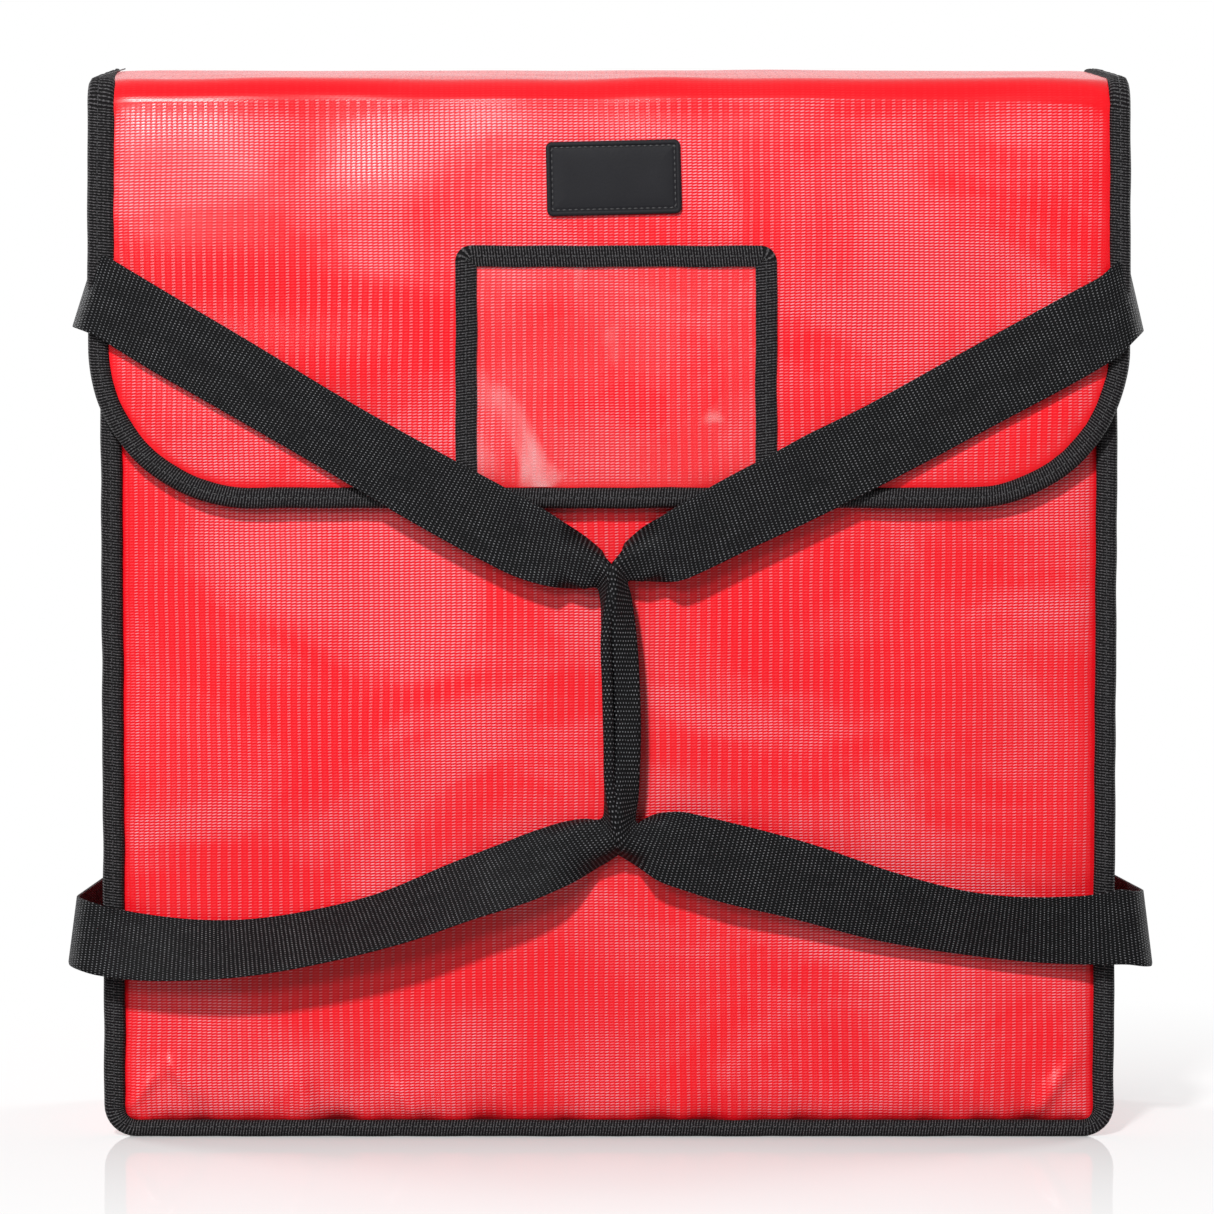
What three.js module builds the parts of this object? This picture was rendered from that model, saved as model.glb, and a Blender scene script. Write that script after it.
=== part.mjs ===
// Insulated pizza delivery bag, standing on its bottom with the flap to the front.
// Millimetres. +Z is up, the front faces -Y, and the origin is the middle of the bottom face.
// Every wall is a sandwich of outer skin, foam and lining. Flat webbing crosses the back at two
// heights, comes round both sides and is folded lengthwise into the two grips at the front.
import * as THREE from 'three';

// Driving dimensions of the body
const bodyWidth = 507;
const bodyDepth = 127;
const rearHeight = 541;
const lidDrop = 12;
const panelCrown = 4;
const sideCrown = 2.5;

// Layers of the walls and of the cover, which is the lid and the flap together
const skinThickness = 1;
const foamThickness = 5.4;
const liningThickness = 0.8;
const coverFoamThickness = 3.4;
const clearance = 0.3;
const looseClearance = 0.6;

// Seam tape that binds the edges
const tapeWidth = 10.5;
const tapeThickness = 4.4;
const tapeRounding = 1.2;
const cornerRadius = 16;
const mouthTapeThickness = 2;

// Cover
const coverWidth = 517;
const shoulderRadius = 16;
const flapBottomHeight = 316;
const flapCornerRadius = 80;

// Hook and loop strips that hold the flap down
const gripStripThickness = 1.2;
const gripStripWidth = 360;
const gripStripHeight = 50;
const gripStripRise = 14;

// Ticket pocket and blank label on the flap
const pocketWidth = 159;
const pocketHeight = 130;
const pocketOffset = 3.5;
const pocketTapeThickness = 1.6;
const pocketTapeRounding = 0.4;
const pocketCornerRadius = 9;
const windowThickness = 0.5;
const labelWidth = 66.5;
const labelHeight = 36.5;
const labelThickness = 2;
const labelCornerRadius = 3;
const labelRimWidth = 2.2;
const labelRimHeight = 0.5;
const labelBevel = 0.5;
const labelOffset = 2.3;
const labelDrop = 34;
const labelTurnDegrees = 1.3;

// Webbing
const webbingWidth = 38;
const webbingThickness = 1.6;
const webbingStandOff = 4.5;
const upperStrapHeight = 426;
const lowerStrapHeight = 105;
const strapReachRear = 257;
const upperStrapReach = 264;
const lowerStrapReach = 269;
const turnRadius = 12;
const turnDrop = 5;
const knotRadius = 22;
const upperKnotHeight = 266;
const lowerKnotHeight = 165;
const gripMeeting = 1.5;
const foldStartShare = 0.8;
const foldDoneShare = 0.7;
const twistDoneShare = 0.55;

// The grip folds the webbing in three, with a little air between its layers
const layerGap = 0.4;
const faceWidth = 9.3;
const innerThird = 9;

// Each leg of a handle: its sag below a straight line, how many degrees its run leans back in the
// middle and slopes at the knot, and how much of its fold is done there
const leftUpperRun = { sag: 4, lean: 0, slopeDegrees: 29, foldShare: 0.85 };
const leftLowerRun = { sag: 17.5, lean: 22, slopeDegrees: 20, foldShare: 0.85 };
const rightUpperRun = { sag: 3.5, lean: 0, slopeDegrees: 28, foldShare: 0.35 };
const rightLowerRun = { sag: 11, lean: 18, slopeDegrees: 15, foldShare: 0.35 };

// How finely the curved pieces are divided
const panelColumns = 10;
const panelRows = 9;
const sideColumns = 4;
const sideRows = 6;
const seamArcSteps = 6;
const flapArcSteps = 10;
const flapSideSteps = 3;
const flapBottomSteps = 8;
const shoulderSegments = 7;

// Sizes worked out from those above
const halfDepth = bodyDepth / 2;
const halfWidth = bodyWidth / 2 - tapeWidth - clearance;
const wallThickness = skinThickness + foamThickness + liningThickness + 2 * clearance;
const coverThickness = skinThickness + coverFoamThickness + liningThickness + 2 * clearance;
const slope = lidDrop / bodyDepth;
const slopeAngle = Math.atan(slope);
const flapGap = 2 * gripStripThickness + 3 * looseClearance;
const coverFace = halfDepth + flapGap + coverThickness;
const sideReach = halfDepth - tapeThickness - clearance;
const coverHalfWidth = coverWidth / 2 - tapeWidth - clearance;
const innerFoldRadius = (webbingThickness + layerGap) / 2;
const outerFoldRadius = webbingThickness + layerGap;
const outerThird = webbingWidth - faceWidth - innerThird
  - Math.PI * (innerFoldRadius + outerFoldRadius);
const foldedWidth = faceWidth + innerFoldRadius + outerFoldRadius + webbingThickness;
const foldedDepth = webbingThickness + 2 * outerFoldRadius;

// The shoulder is an arc that leaves the lid's slope and ends upright at the flap's fold. Above
// the front wall its inside falls a little below the slope, and the mouth keeps clear of that.
const shoulderY = shoulderRadius - coverFace;
const shoulderInside = shoulderRadius - coverThickness;
const shoulderRun = halfDepth + shoulderY;
const shoulderFall = shoulderInside / Math.cos(slopeAngle) - slope * shoulderRun
  - Math.sqrt(shoulderInside ** 2 - shoulderRun ** 2);

// Height of the outer face of the lid above a point at depth y
const lidHeight = (y) => rearHeight - slope * (halfDepth - y);
const mouthStack = coverThickness + mouthTapeThickness + 2 * clearance;
const mouthDrop = mouthStack / Math.cos(slopeAngle) + shoulderFall;
const wallTop = (y) => lidHeight(y) - mouthDrop;
const frontTop = wallTop(-halfDepth);
const backTop = wallTop(halfDepth - wallThickness);
const shoulderZ = lidHeight(shoulderY - shoulderRadius * Math.sin(slopeAngle))
  - shoulderRadius * Math.cos(slopeAngle);
const foldHeight = shoulderZ;

const group = new THREE.Group();
const materials = {
  vinyl: { color: 0xe8202c, roughness: 0.35, metalness: 0 },
  foam: { color: 0xd9d9d4, roughness: 0.95, metalness: 0 },
  lining: { color: 0x2c2d30, roughness: 0.7, metalness: 0 },
  tape: { color: 0x1d1e21, roughness: 0.8, metalness: 0 },
  webbing: { color: 0x1b1c1e, roughness: 0.75, metalness: 0 },
  hookAndLoop: { color: 0x18181a, roughness: 0.95, metalness: 0 },
  clear: { color: 0xf0e6e6, roughness: 0.1, metalness: 0 },
  rubber: { color: 0x2d3037, roughness: 0.55, metalness: 0 },
};

function addPiece(name, material, geometry, parent = group) {
  const mesh = new THREE.Mesh(geometry, new THREE.MeshStandardMaterial(materials[material]));
  mesh.name = name;
  parent.add(mesh);
  return mesh;
}

// A closed body made of rings that all have the same number of points. The first and the last
// ring are capped, unless the rings run round and meet again. The second half of each ring has
// its diagonals the other way, so that the two faces of a sheet stay parallel.
function loft(rings, closed = false) {
  const size = rings[0].length;
  const positions = rings.flat().flatMap((p) => [p.x, p.y, p.z]);
  const faces = [];
  const spans = closed ? rings.length : rings.length - 1;
  for (let i = 0; i < spans; i += 1) {
    const here = i * size;
    const there = ((i + 1) % rings.length) * size;
    for (let k = 0; k < size; k += 1) {
      const next = (k + 1) % size;
      const [a, b, c, d] = [here + k, here + next, there + next, there + k];
      faces.push(...(k < size / 2 ? [a, b, d, b, c, d] : [a, b, c, a, c, d]));
    }
  }
  if (!closed) {
    capRing(0, size, true, faces);
    capRing((rings.length - 1) * size, size, false, faces);
  }
  const geometry = new THREE.BufferGeometry();
  geometry.setAttribute('position', new THREE.Float32BufferAttribute(positions, 3));
  geometry.setIndex(faces);
  return facingOut(geometry);
}

// Fills a ring with a strip of faces between its first half and its second
function capRing(start, size, reversed, faces) {
  for (let i = 0; i < size / 2 - 1; i += 1) {
    const [a, b] = [start + i, start + i + 1];
    const [c, d] = [start + size - 2 - i, start + size - 1 - i];
    faces.push(...(reversed ? [a, c, b, a, d, c] : [a, b, c, a, c, d]));
  }
}

function signedVolume(geometry) {
  const position = geometry.getAttribute('position');
  const index = geometry.getIndex();
  const [a, b, c] = [new THREE.Vector3(), new THREE.Vector3(), new THREE.Vector3()];
  let volume = 0;
  for (let i = 0; i < index.count; i += 3) {
    a.fromBufferAttribute(position, index.getX(i));
    b.fromBufferAttribute(position, index.getX(i + 1));
    c.fromBufferAttribute(position, index.getX(i + 2));
    volume += a.dot(b.cross(c));
  }
  return volume;
}

function facingOut(geometry) {
  if (signedVolume(geometry) < 0) {
    geometry.setIndex(Array.from(geometry.getIndex().array).reverse());
  }
  return geometry;
}

// A sheet of even thickness with its outer face towards -Y. placeAt gives the place on the sheet
// for shares from -1 to 1 across and 0 to 1 up, and swell says how far it bulges there.
function sheet({ columns, rows, placeAt, face, thickness, swell }) {
  const ringAt = (share) => {
    const outer = [];
    const inner = [];
    for (let i = 0; i <= columns; i += 1) {
      const [x, z] = placeAt(2 * i / columns - 1, share);
      const y = -face - swell(x, z);
      outer.push(new THREE.Vector3(x, y, z));
      inner.unshift(new THREE.Vector3(x, y + thickness, z));
    }
    return [...outer, ...inner];
  };
  const rings = [];
  for (let j = 0; j <= rows; j += 1) {
    rings.push(ringAt(j / rows));
  }
  return loft(rings);
}

// Bulge of a stuffed panel: fullest in the middle and nothing at its edges
function bulge(crown, halfSpan, bottom, top) {
  const middle = (bottom + top) / 2;
  const reach = (top - bottom) / 2;
  return (x, z) => crown
    * Math.max(0, 1 - (x / halfSpan) ** 2)
    * Math.max(0, 1 - ((z - middle) / reach) ** 2);
}

const frontBulge = bulge(panelCrown, bodyWidth / 2, 0, frontTop);
const backBulge = bulge(panelCrown, bodyWidth / 2, 0, backTop);

// The bulge of a seam that stays straight
const flat = () => 0;

// Places on a panel whose bottom corners are rounded
function roundedPanel(half, bottom, top, radius) {
  return (across, up) => {
    const z = bottom + (top - bottom) * up;
    const dip = Math.max(0, radius - (z - bottom));
    const width = half - radius + Math.sqrt(radius ** 2 - dip ** 2);
    return [across * width, z];
  };
}

// Rows crowd towards the rounded bottom, so that the corners stay round
function crowded(placeAt) {
  return (across, up) => placeAt(across, up ** 2);
}

// One wall: skin, foam and lining, each held clear of the walls that it meets at the corners
function addWall(name, { halfSpan, bottoms, tops, cornerRadii, crown, columns, rows }, parent) {
  const layers = [
    { part: 'skin', material: 'vinyl', face: halfDepth, thickness: skinThickness },
    {
      part: 'foam',
      material: 'foam',
      face: halfDepth - skinThickness - clearance,
      thickness: foamThickness,
    },
    {
      part: 'lining',
      material: 'lining',
      face: halfDepth - wallThickness + liningThickness,
      thickness: liningThickness,
    },
  ];
  layers.forEach(({ part, material, face, thickness }, i) => {
    const panel = roundedPanel(halfSpan[i], bottoms[i], tops[i], cornerRadii[i]);
    const placeAt = cornerRadii[i] > 0 ? crowded(panel) : panel;
    const geometry = sheet({ columns, rows, placeAt, face, thickness, swell: crown });
    addPiece(`${name}_${part}`, material, geometry, parent);
  });
}

const innerCornerRadius = cornerRadius - tapeWidth - clearance;
const foamHalfSpan = halfWidth - skinThickness - clearance;
const liningHalfSpan = foamHalfSpan - foamThickness - clearance;
const seamBottom = tapeWidth + clearance;
const liningBottom = wallThickness + clearance;

function addFrontAndBack() {
  const wall = {
    halfSpan: [halfWidth, foamHalfSpan, liningHalfSpan],
    bottoms: [seamBottom, seamBottom, liningBottom],
    cornerRadii: [innerCornerRadius, innerCornerRadius, 0],
    columns: panelColumns,
    rows: panelRows,
  };
  addWall('front', { ...wall, tops: [frontTop, frontTop, frontTop], crown: frontBulge });
  const back = new THREE.Group();
  back.rotation.z = Math.PI;
  group.add(back);
  addWall('back', { ...wall, tops: [backTop, backTop, backTop], crown: backBulge }, back);
}

// The side walls are lower at the front, where the lid slopes down
function addSides() {
  const reaches = [
    sideReach,
    halfDepth - skinThickness - foamThickness - 2 * clearance,
    halfDepth - wallThickness - clearance,
  ];
  const thicknesses = [skinThickness, foamThickness, liningThickness];
  const faces = [halfWidth, foamHalfSpan, liningHalfSpan];
  const bottoms = [
    skinThickness + clearance,
    skinThickness + foamThickness + 2 * clearance,
    liningBottom,
  ];
  const parts = ['skin', 'foam', 'lining'];
  const looks = ['vinyl', 'foam', 'lining'];
  [['left', 1], ['right', -1]].forEach(([side, sign]) => {
    const turned = new THREE.Group();
    turned.rotation.z = -sign * Math.PI / 2;
    group.add(turned);
    const crown = bulge(sideCrown, halfDepth, 0, frontTop);
    parts.forEach((part, i) => {
      const placeAt = (across, up) => {
        const x = across * reaches[i];
        const top = wallTop(-sign * x);
        return [x, bottoms[i] + (top - bottoms[i]) * up];
      };
      const geometry = sheet({
        columns: sideColumns,
        rows: sideRows,
        placeAt,
        face: faces[i],
        thickness: thicknesses[i],
        swell: crown,
      });
      addPiece(`${side}_${part}`, looks[i], geometry, turned);
    });
  });
}

// The bottom lies flat on the floor between the two taped seams
function addBottom() {
  const layers = [
    { part: 'skin', look: 'vinyl', half: halfWidth, reach: sideReach, base: 0, high: skinThickness },
    {
      part: 'foam',
      look: 'foam',
      half: foamHalfSpan,
      reach: sideReach,
      base: skinThickness + clearance,
      high: foamThickness,
    },
    {
      part: 'lining',
      look: 'lining',
      half: liningHalfSpan,
      reach: halfDepth - wallThickness - clearance,
      base: wallThickness - liningThickness,
      high: liningThickness,
    },
  ];
  layers.forEach(({ part, look, half, reach, base, high }) => {
    const mesh = addPiece(`bottom_${part}`, look, new THREE.BoxGeometry(2 * half, 2 * reach, high));
    mesh.position.z = base + high / 2;
  });
}

// Seam tape swept along a flat route in the XZ plane, given as points with their outward normals.
// The section is a rounded strip. Its front face lies at the given face distance.
function tape({ route, width, thickness, face, rounding, swell, closed = false }) {
  const half = width / 2;
  const section = [
    [-half, rounding],
    [-half + rounding, 0],
    [half - rounding, 0],
    [half, rounding],
    [half, thickness - rounding],
    [half - rounding, thickness],
    [-half + rounding, thickness],
    [-half, thickness - rounding],
  ];
  const rings = route.map(({ x, z, nx, nz }) => section.map(([out, deep]) => {
    const px = x + nx * out;
    const pz = z + nz * out;
    return new THREE.Vector3(px, -face - swell(px, pz) + deep, pz);
  }));
  return loft(rings, closed);
}

// Points of a straight run with one outward normal
function straight(x0, z0, x1, z1, nx, nz, steps) {
  const points = [];
  for (let i = 0; i <= steps; i += 1) {
    const share = i / steps;
    points.push({ x: x0 + (x1 - x0) * share, z: z0 + (z1 - z0) * share, nx, nz });
  }
  return points;
}

// Points of an arc about a centre, between two angles in degrees. The normals point away from it.
function arc(cx, cz, radius, from, to, steps) {
  const points = [];
  for (let i = 1; i < steps; i += 1) {
    const angle = THREE.MathUtils.degToRad(from + (to - from) * i / steps);
    const nx = Math.cos(angle);
    const nz = Math.sin(angle);
    points.push({ x: cx + radius * nx, z: cz + radius * nz, nx, nz });
  }
  return points;
}

// A U of tape: down the left side, along the bottom and up the right side
function uRoute({ half, bottom, top, radius, arcSteps, sideSteps, bottomSteps }) {
  const low = bottom + radius;
  const near = half - radius;
  return [
    ...straight(-half, top, -half, low, -1, 0, sideSteps),
    ...arc(-near, low, radius, 180, 270, arcSteps),
    ...straight(-near, bottom, near, bottom, 0, -1, bottomSteps),
    ...arc(near, low, radius, 270, 360, arcSteps),
    ...straight(half, low, half, top, 1, 0, sideSteps),
  ];
}

function addSeamTapes() {
  const seam = {
    width: tapeWidth,
    thickness: tapeThickness,
    face: halfDepth,
    rounding: tapeRounding,
    swell: flat,
  };
  const shape = {
    half: bodyWidth / 2 - tapeWidth / 2,
    bottom: tapeWidth / 2,
    radius: cornerRadius - tapeWidth / 2,
    arcSteps: seamArcSteps,
    sideSteps: 1,
    bottomSteps: 1,
  };
  const frontRoute = uRoute({ ...shape, top: frontTop });
  addPiece('front_seam_tape', 'tape', tape({ ...seam, route: frontRoute }));
  const backRoute = uRoute({ ...shape, top: backTop });
  const back = addPiece('back_seam_tape', 'tape', tape({ ...seam, route: backRoute }));
  back.rotation.z = Math.PI;
}

// Tape round the mouth, lying on the tops of the side and front walls under the lid
function addMouthTape() {
  const outerX = halfWidth;
  const innerX = halfWidth - wallThickness;
  const rear = (halfDepth - wallThickness - clearance) / Math.cos(slopeAngle);
  const front = halfDepth / Math.cos(slopeAngle);
  const inner = front - wallThickness;
  const outline = new THREE.Shape();
  outline.moveTo(-outerX, rear);
  outline.lineTo(-outerX, -front);
  outline.lineTo(outerX, -front);
  outline.lineTo(outerX, rear);
  outline.lineTo(innerX, rear);
  outline.lineTo(innerX, -inner);
  outline.lineTo(-innerX, -inner);
  outline.lineTo(-innerX, rear);
  const geometry = new THREE.ExtrudeGeometry(outline, {
    depth: mouthTapeThickness,
    bevelEnabled: false,
  });
  const mesh = addPiece('mouth_tape', 'tape', geometry);
  mesh.rotation.x = slopeAngle;
  mesh.position.z = wallTop(0) + clearance / Math.cos(slopeAngle);
}

// Outline of a layer of the lid seen from the side, between two distances in from its outer face
function lidProfile(from, to, rearEdge) {
  const outerRadius = shoulderRadius - from;
  const innerRadius = shoulderRadius - to;
  const slant = Math.PI / 2 + slopeAngle;
  const drop = (depth) => lidHeight(rearEdge) - depth / Math.cos(slopeAngle);
  const outline = new THREE.Shape();
  outline.moveTo(rearEdge, drop(from));
  outline.lineTo(
    shoulderY + outerRadius * Math.cos(slant),
    shoulderZ + outerRadius * Math.sin(slant),
  );
  outline.absarc(shoulderY, shoulderZ, outerRadius, slant, Math.PI, false);
  outline.lineTo(shoulderY - innerRadius, shoulderZ);
  outline.absarc(shoulderY, shoulderZ, innerRadius, Math.PI, slant, true);
  outline.lineTo(rearEdge, drop(to));
  return outline;
}

// Stretches a side profile along X between two places
function alongX(profile, fromX, toX) {
  const geometry = new THREE.ExtrudeGeometry(profile, {
    depth: toX - fromX,
    bevelEnabled: false,
    curveSegments: shoulderSegments,
  });
  const basis = new THREE.Matrix4().makeBasis(
    new THREE.Vector3(0, 1, 0),
    new THREE.Vector3(0, 0, 1),
    new THREE.Vector3(1, 0, 0),
  );
  geometry.applyMatrix4(basis);
  geometry.translate(fromX, 0, 0);
  return geometry;
}

const coverLayers = [
  { part: 'skin', look: 'vinyl', from: 0, to: skinThickness },
  {
    part: 'foam',
    look: 'foam',
    from: skinThickness + clearance,
    to: skinThickness + clearance + coverFoamThickness,
  },
  {
    part: 'lining',
    look: 'lining',
    from: coverThickness - liningThickness,
    to: coverThickness,
  },
];

function addLid() {
  coverLayers.forEach(({ part, look, from, to }) => {
    const profile = lidProfile(from, to, halfDepth);
    addPiece(`lid_${part}`, look, alongX(profile, -coverHalfWidth, coverHalfWidth));
  });
  const edge = lidProfile(0, coverThickness, halfDepth);
  const near = coverHalfWidth + clearance;
  const far = coverWidth / 2;
  addPiece('lid_left_tape', 'tape', alongX(edge, -far, -near));
  addPiece('lid_right_tape', 'tape', alongX(edge, near, far));
}

const flapTop = foldHeight - clearance;
const flapSeamBottom = flapBottomHeight + tapeWidth + clearance;
const flapInnerRadius = flapCornerRadius - tapeWidth - clearance;

function addFlap() {
  coverLayers.forEach(({ part, look, from, to }) => {
    const placeAt = crowded(
      roundedPanel(coverHalfWidth, flapSeamBottom, flapTop, flapInnerRadius),
    );
    const geometry = sheet({
      columns: panelColumns,
      rows: panelRows,
      placeAt,
      face: coverFace - from,
      thickness: to - from,
      swell: frontBulge,
    });
    addPiece(`flap_${part}`, look, geometry);
  });
  const route = uRoute({
    half: coverWidth / 2 - tapeWidth / 2,
    bottom: flapBottomHeight + tapeWidth / 2,
    top: flapTop,
    radius: flapCornerRadius - tapeWidth / 2,
    arcSteps: flapArcSteps,
    sideSteps: flapSideSteps,
    bottomSteps: flapBottomSteps,
  });
  addPiece('flap_tape', 'tape', tape({
    route,
    width: tapeWidth,
    thickness: tapeThickness,
    face: coverFace,
    rounding: tapeRounding,
    swell: frontBulge,
  }));
}

// A strip sewn flat on the front wall or under the flap
function strip(x, bottom, width, height, face, thickness) {
  return sheet({
    columns: 8,
    rows: 2,
    placeAt: (across, up) => [x + across * width / 2, bottom + up * height],
    face,
    thickness,
    swell: frontBulge,
  });
}

function addHookAndLoop() {
  const bottom = flapSeamBottom + gripStripRise;
  const loopFace = halfDepth + looseClearance + gripStripThickness;
  const hookFace = loopFace + looseClearance + gripStripThickness;
  const size = [0, bottom, gripStripWidth, gripStripHeight];
  addPiece('front_loop_strip', 'hookAndLoop', strip(...size, loopFace, gripStripThickness));
  addPiece('flap_hook_strip', 'hookAndLoop', strip(...size, hookFace, gripStripThickness));
}

// Clear window and its tape, which run down to the tape at the bottom of the flap
function addTicketPocket() {
  const top = flapBottomHeight + pocketHeight;
  const bottom = flapSeamBottom;
  const half = pocketWidth / 2 - tapeWidth / 2;
  const radius = pocketCornerRadius;
  const high = top - tapeWidth / 2 - radius;
  const near = half - radius;
  const route = [
    ...straight(-half, bottom, -half, high, -1, 0, 3),
    ...arc(-near, high, radius, 180, 90, 4),
    ...straight(-near, high + radius, near, high + radius, 0, 1, 4),
    ...arc(near, high, radius, 90, 0, 4),
    ...straight(half, high, half, bottom, 1, 0, 3),
  ].map((p) => ({ ...p, x: p.x + pocketOffset }));
  addPiece('ticket_pocket_tape', 'tape', tape({
    route,
    width: tapeWidth,
    thickness: pocketTapeThickness,
    face: coverFace + clearance + pocketTapeThickness,
    rounding: pocketTapeRounding,
    swell: frontBulge,
  }));
  const windowWidth = pocketWidth - 2 * tapeWidth - 2 * clearance;
  const windowHeight = top - tapeWidth - clearance - bottom;
  const cut = radius - tapeWidth / 2;
  const placeAt = (across, up) => {
    const z = bottom + windowHeight * up;
    const rise = Math.max(0, cut - (bottom + windowHeight - z));
    const width = windowWidth / 2 - cut + Math.sqrt(cut ** 2 - rise ** 2);
    return [pocketOffset + across * width, z];
  };
  addPiece('ticket_pocket_window', 'clear', sheet({
    columns: 6,
    rows: 8,
    placeAt,
    face: coverFace + clearance + windowThickness,
    thickness: windowThickness,
    swell: frontBulge,
  }));
}

// Blank moulded label with a raised rim, built from rounded outlines at stepped heights
function addLabel() {
  const floor = labelThickness - labelRimHeight;
  const tiers = [
    { inset: 0, high: 0 },
    { inset: 0, high: labelThickness - labelBevel },
    { inset: labelBevel, high: labelThickness },
    { inset: labelRimWidth, high: labelThickness },
    { inset: labelRimWidth + labelBevel, high: floor },
  ];
  const turn = THREE.MathUtils.degToRad(labelTurnDegrees);
  const centreZ = foldHeight - labelDrop;
  const face = coverFace + clearance;
  const rings = tiers.map(({ inset, high }) => {
    const radius = Math.max(labelCornerRadius - inset, labelBevel);
    const outline = roundedOutline(labelWidth / 2 - inset, labelHeight / 2 - inset, radius);
    return outline.map(([a, b]) => {
      const x = labelOffset + a * Math.cos(turn) - b * Math.sin(turn);
      const z = centreZ + a * Math.sin(turn) + b * Math.cos(turn);
      return new THREE.Vector3(x, -face - high - frontBulge(x, z), z);
    });
  });
  addPiece('label_patch', 'rubber', loft(rings));
}

function roundedOutline(halfX, halfZ, radius) {
  const corners = [[1, 1, 0], [-1, 1, 90], [-1, -1, 180], [1, -1, 270]];
  const steps = 4;
  return corners.flatMap(([sx, sz, start]) => {
    const points = [];
    for (let i = 0; i <= steps; i += 1) {
      const angle = THREE.MathUtils.degToRad(start + 90 * i / steps);
      points.push([
        sx * (halfX - radius) + radius * Math.cos(angle),
        sz * (halfZ - radius) + radius * Math.sin(angle),
      ]);
    }
    return points;
  });
}

const share = (value) => Math.min(1, Math.max(0, value));

// One side of the webbing's centre line, from the edge of its middle third: an even bend of the
// given radius through a share of a half turn, and then the straight outer third
function thirdOfSection(start, radius, length, turned) {
  const steps = 3;
  const bend = Math.PI * radius / steps;
  const points = [[start, 0]];
  let [a, b, angle] = [start, 0, 0];
  for (let i = 0; i < steps; i += 1) {
    const middle = angle + turned * Math.PI / steps / 2;
    a += bend * Math.cos(middle);
    b += bend * Math.sin(middle);
    angle += turned * Math.PI / steps;
    points.push([a, b]);
  }
  points.push([a + length * Math.cos(angle), b + length * Math.sin(angle)]);
  return points;
}

// Section of the webbing, as places across its width and back from its face, for a fold from
// 0 (flat) to 1 (folded in three). One outer third goes behind first and the other over it.
function webbingSection(fold) {
  const first = thirdOfSection(faceWidth / 2, innerFoldRadius, innerThird, share(2 * fold));
  const second = thirdOfSection(faceWidth / 2, outerFoldRadius, outerThird, share(2 * fold - 1));
  const centre = [...second.map(([a, b]) => [-a, b]).reverse(), ...first];
  const half = webbingThickness / 2;
  const side = (sign) => centre.map(([x, y], i) => {
    const before = centre[Math.max(0, i - 1)];
    const after = centre[Math.min(centre.length - 1, i + 1)];
    const length = Math.hypot(after[0] - before[0], after[1] - before[1]);
    const nx = -(after[1] - before[1]) / length;
    const ny = (after[0] - before[0]) / length;
    return [x + sign * nx * half, y + sign * ny * half];
  });
  const outline = [...side(-1), ...side(1).reverse()];
  const middle = (k) => {
    const values = outline.map((p) => p[k]);
    return (Math.min(...values) + Math.max(...values)) / 2;
  };
  const [midA, midB] = [middle(0), middle(1)];
  return outline.map(([x, y]) => [x - midA, y - midB]);
}

// Webbing lofted along stations. Each station has its place, the way that its face looks and how
// far it is folded. Its direction comes from its neighbours unless it is given.
function webbing(stations) {
  const rings = stations.map(({ at, looks, fold, along }, i) => {
    const before = stations[Math.max(0, i - 1)].at;
    const after = stations[Math.min(stations.length - 1, i + 1)].at;
    const forward = (along ?? new THREE.Vector3().subVectors(after, before)).clone().normalize();
    const across = new THREE.Vector3().crossVectors(forward, looks).normalize();
    const out = new THREE.Vector3().crossVectors(across, forward).normalize();
    return webbingSection(fold).map(([a, b]) => at.clone()
      .addScaledVector(across, a)
      .addScaledVector(out, -b));
  });
  return loft(rings);
}

const point = (x, y, z) => new THREE.Vector3(x, y, z);

// The strap that crosses the back at each height, and its free runs beside the two sides
function addStraps() {
  const levels = [
    { level: 'upper', height: upperStrapHeight, reach: upperStrapReach },
    { level: 'lower', height: lowerStrapHeight, reach: lowerStrapReach },
  ];
  const half = webbingThickness / 2;
  const backFace = halfDepth + clearance + webbingThickness;
  levels.forEach(({ level, height, reach }) => {
    const steps = 10;
    const crossing = strapReachRear - half - clearance;
    const geometry = sheet({
      columns: steps,
      rows: 1,
      placeAt: (across, up) => [across * crossing, height + (up - 1 / 2) * webbingWidth],
      face: backFace,
      thickness: webbingThickness,
      swell: backBulge,
    });
    const back = addPiece(`${level}_back_strap`, 'webbing', geometry);
    back.rotation.z = Math.PI;
    [['left', -1], ['right', 1]].forEach(([side, sign]) => {
      const looks = point(sign, 0, 0);
      const stations = [
        { at: point(sign * strapReachRear, backFace, height), looks, fold: 0 },
        { at: point(sign * reach, -halfDepth, height), looks, fold: 0 },
      ];
      addPiece(`${level}_${side}_side_strap`, 'webbing', webbing(stations));
    });
  });
}

// Place on the face of the webbing's route in front of the bag
function frontPoint(x, z) {
  return point(x, -(coverFace + webbingStandOff + frontBulge(x, z)), z);
}

// The webbing comes forward beside the bag and turns across the front
function turnStations(sign, reach, height, leave) {
  const steps = 4;
  const start = halfDepth + clearance;
  const depth = coverFace + webbingStandOff - start;
  const stations = [];
  for (let i = 0; i < steps; i += 1) {
    const angle = i / steps * Math.PI / 2;
    stations.push({
      at: point(
        sign * (reach - turnRadius * (1 - Math.cos(angle))),
        -(start + depth * Math.sin(angle)),
        height + (leave - height) * (i / steps) ** 2,
      ),
      looks: point(sign * Math.cos(angle), -Math.sin(angle), 0),
      fold: 0,
    });
  }
  stations[0].along = point(0, -1, 0);
  return stations;
}

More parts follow.
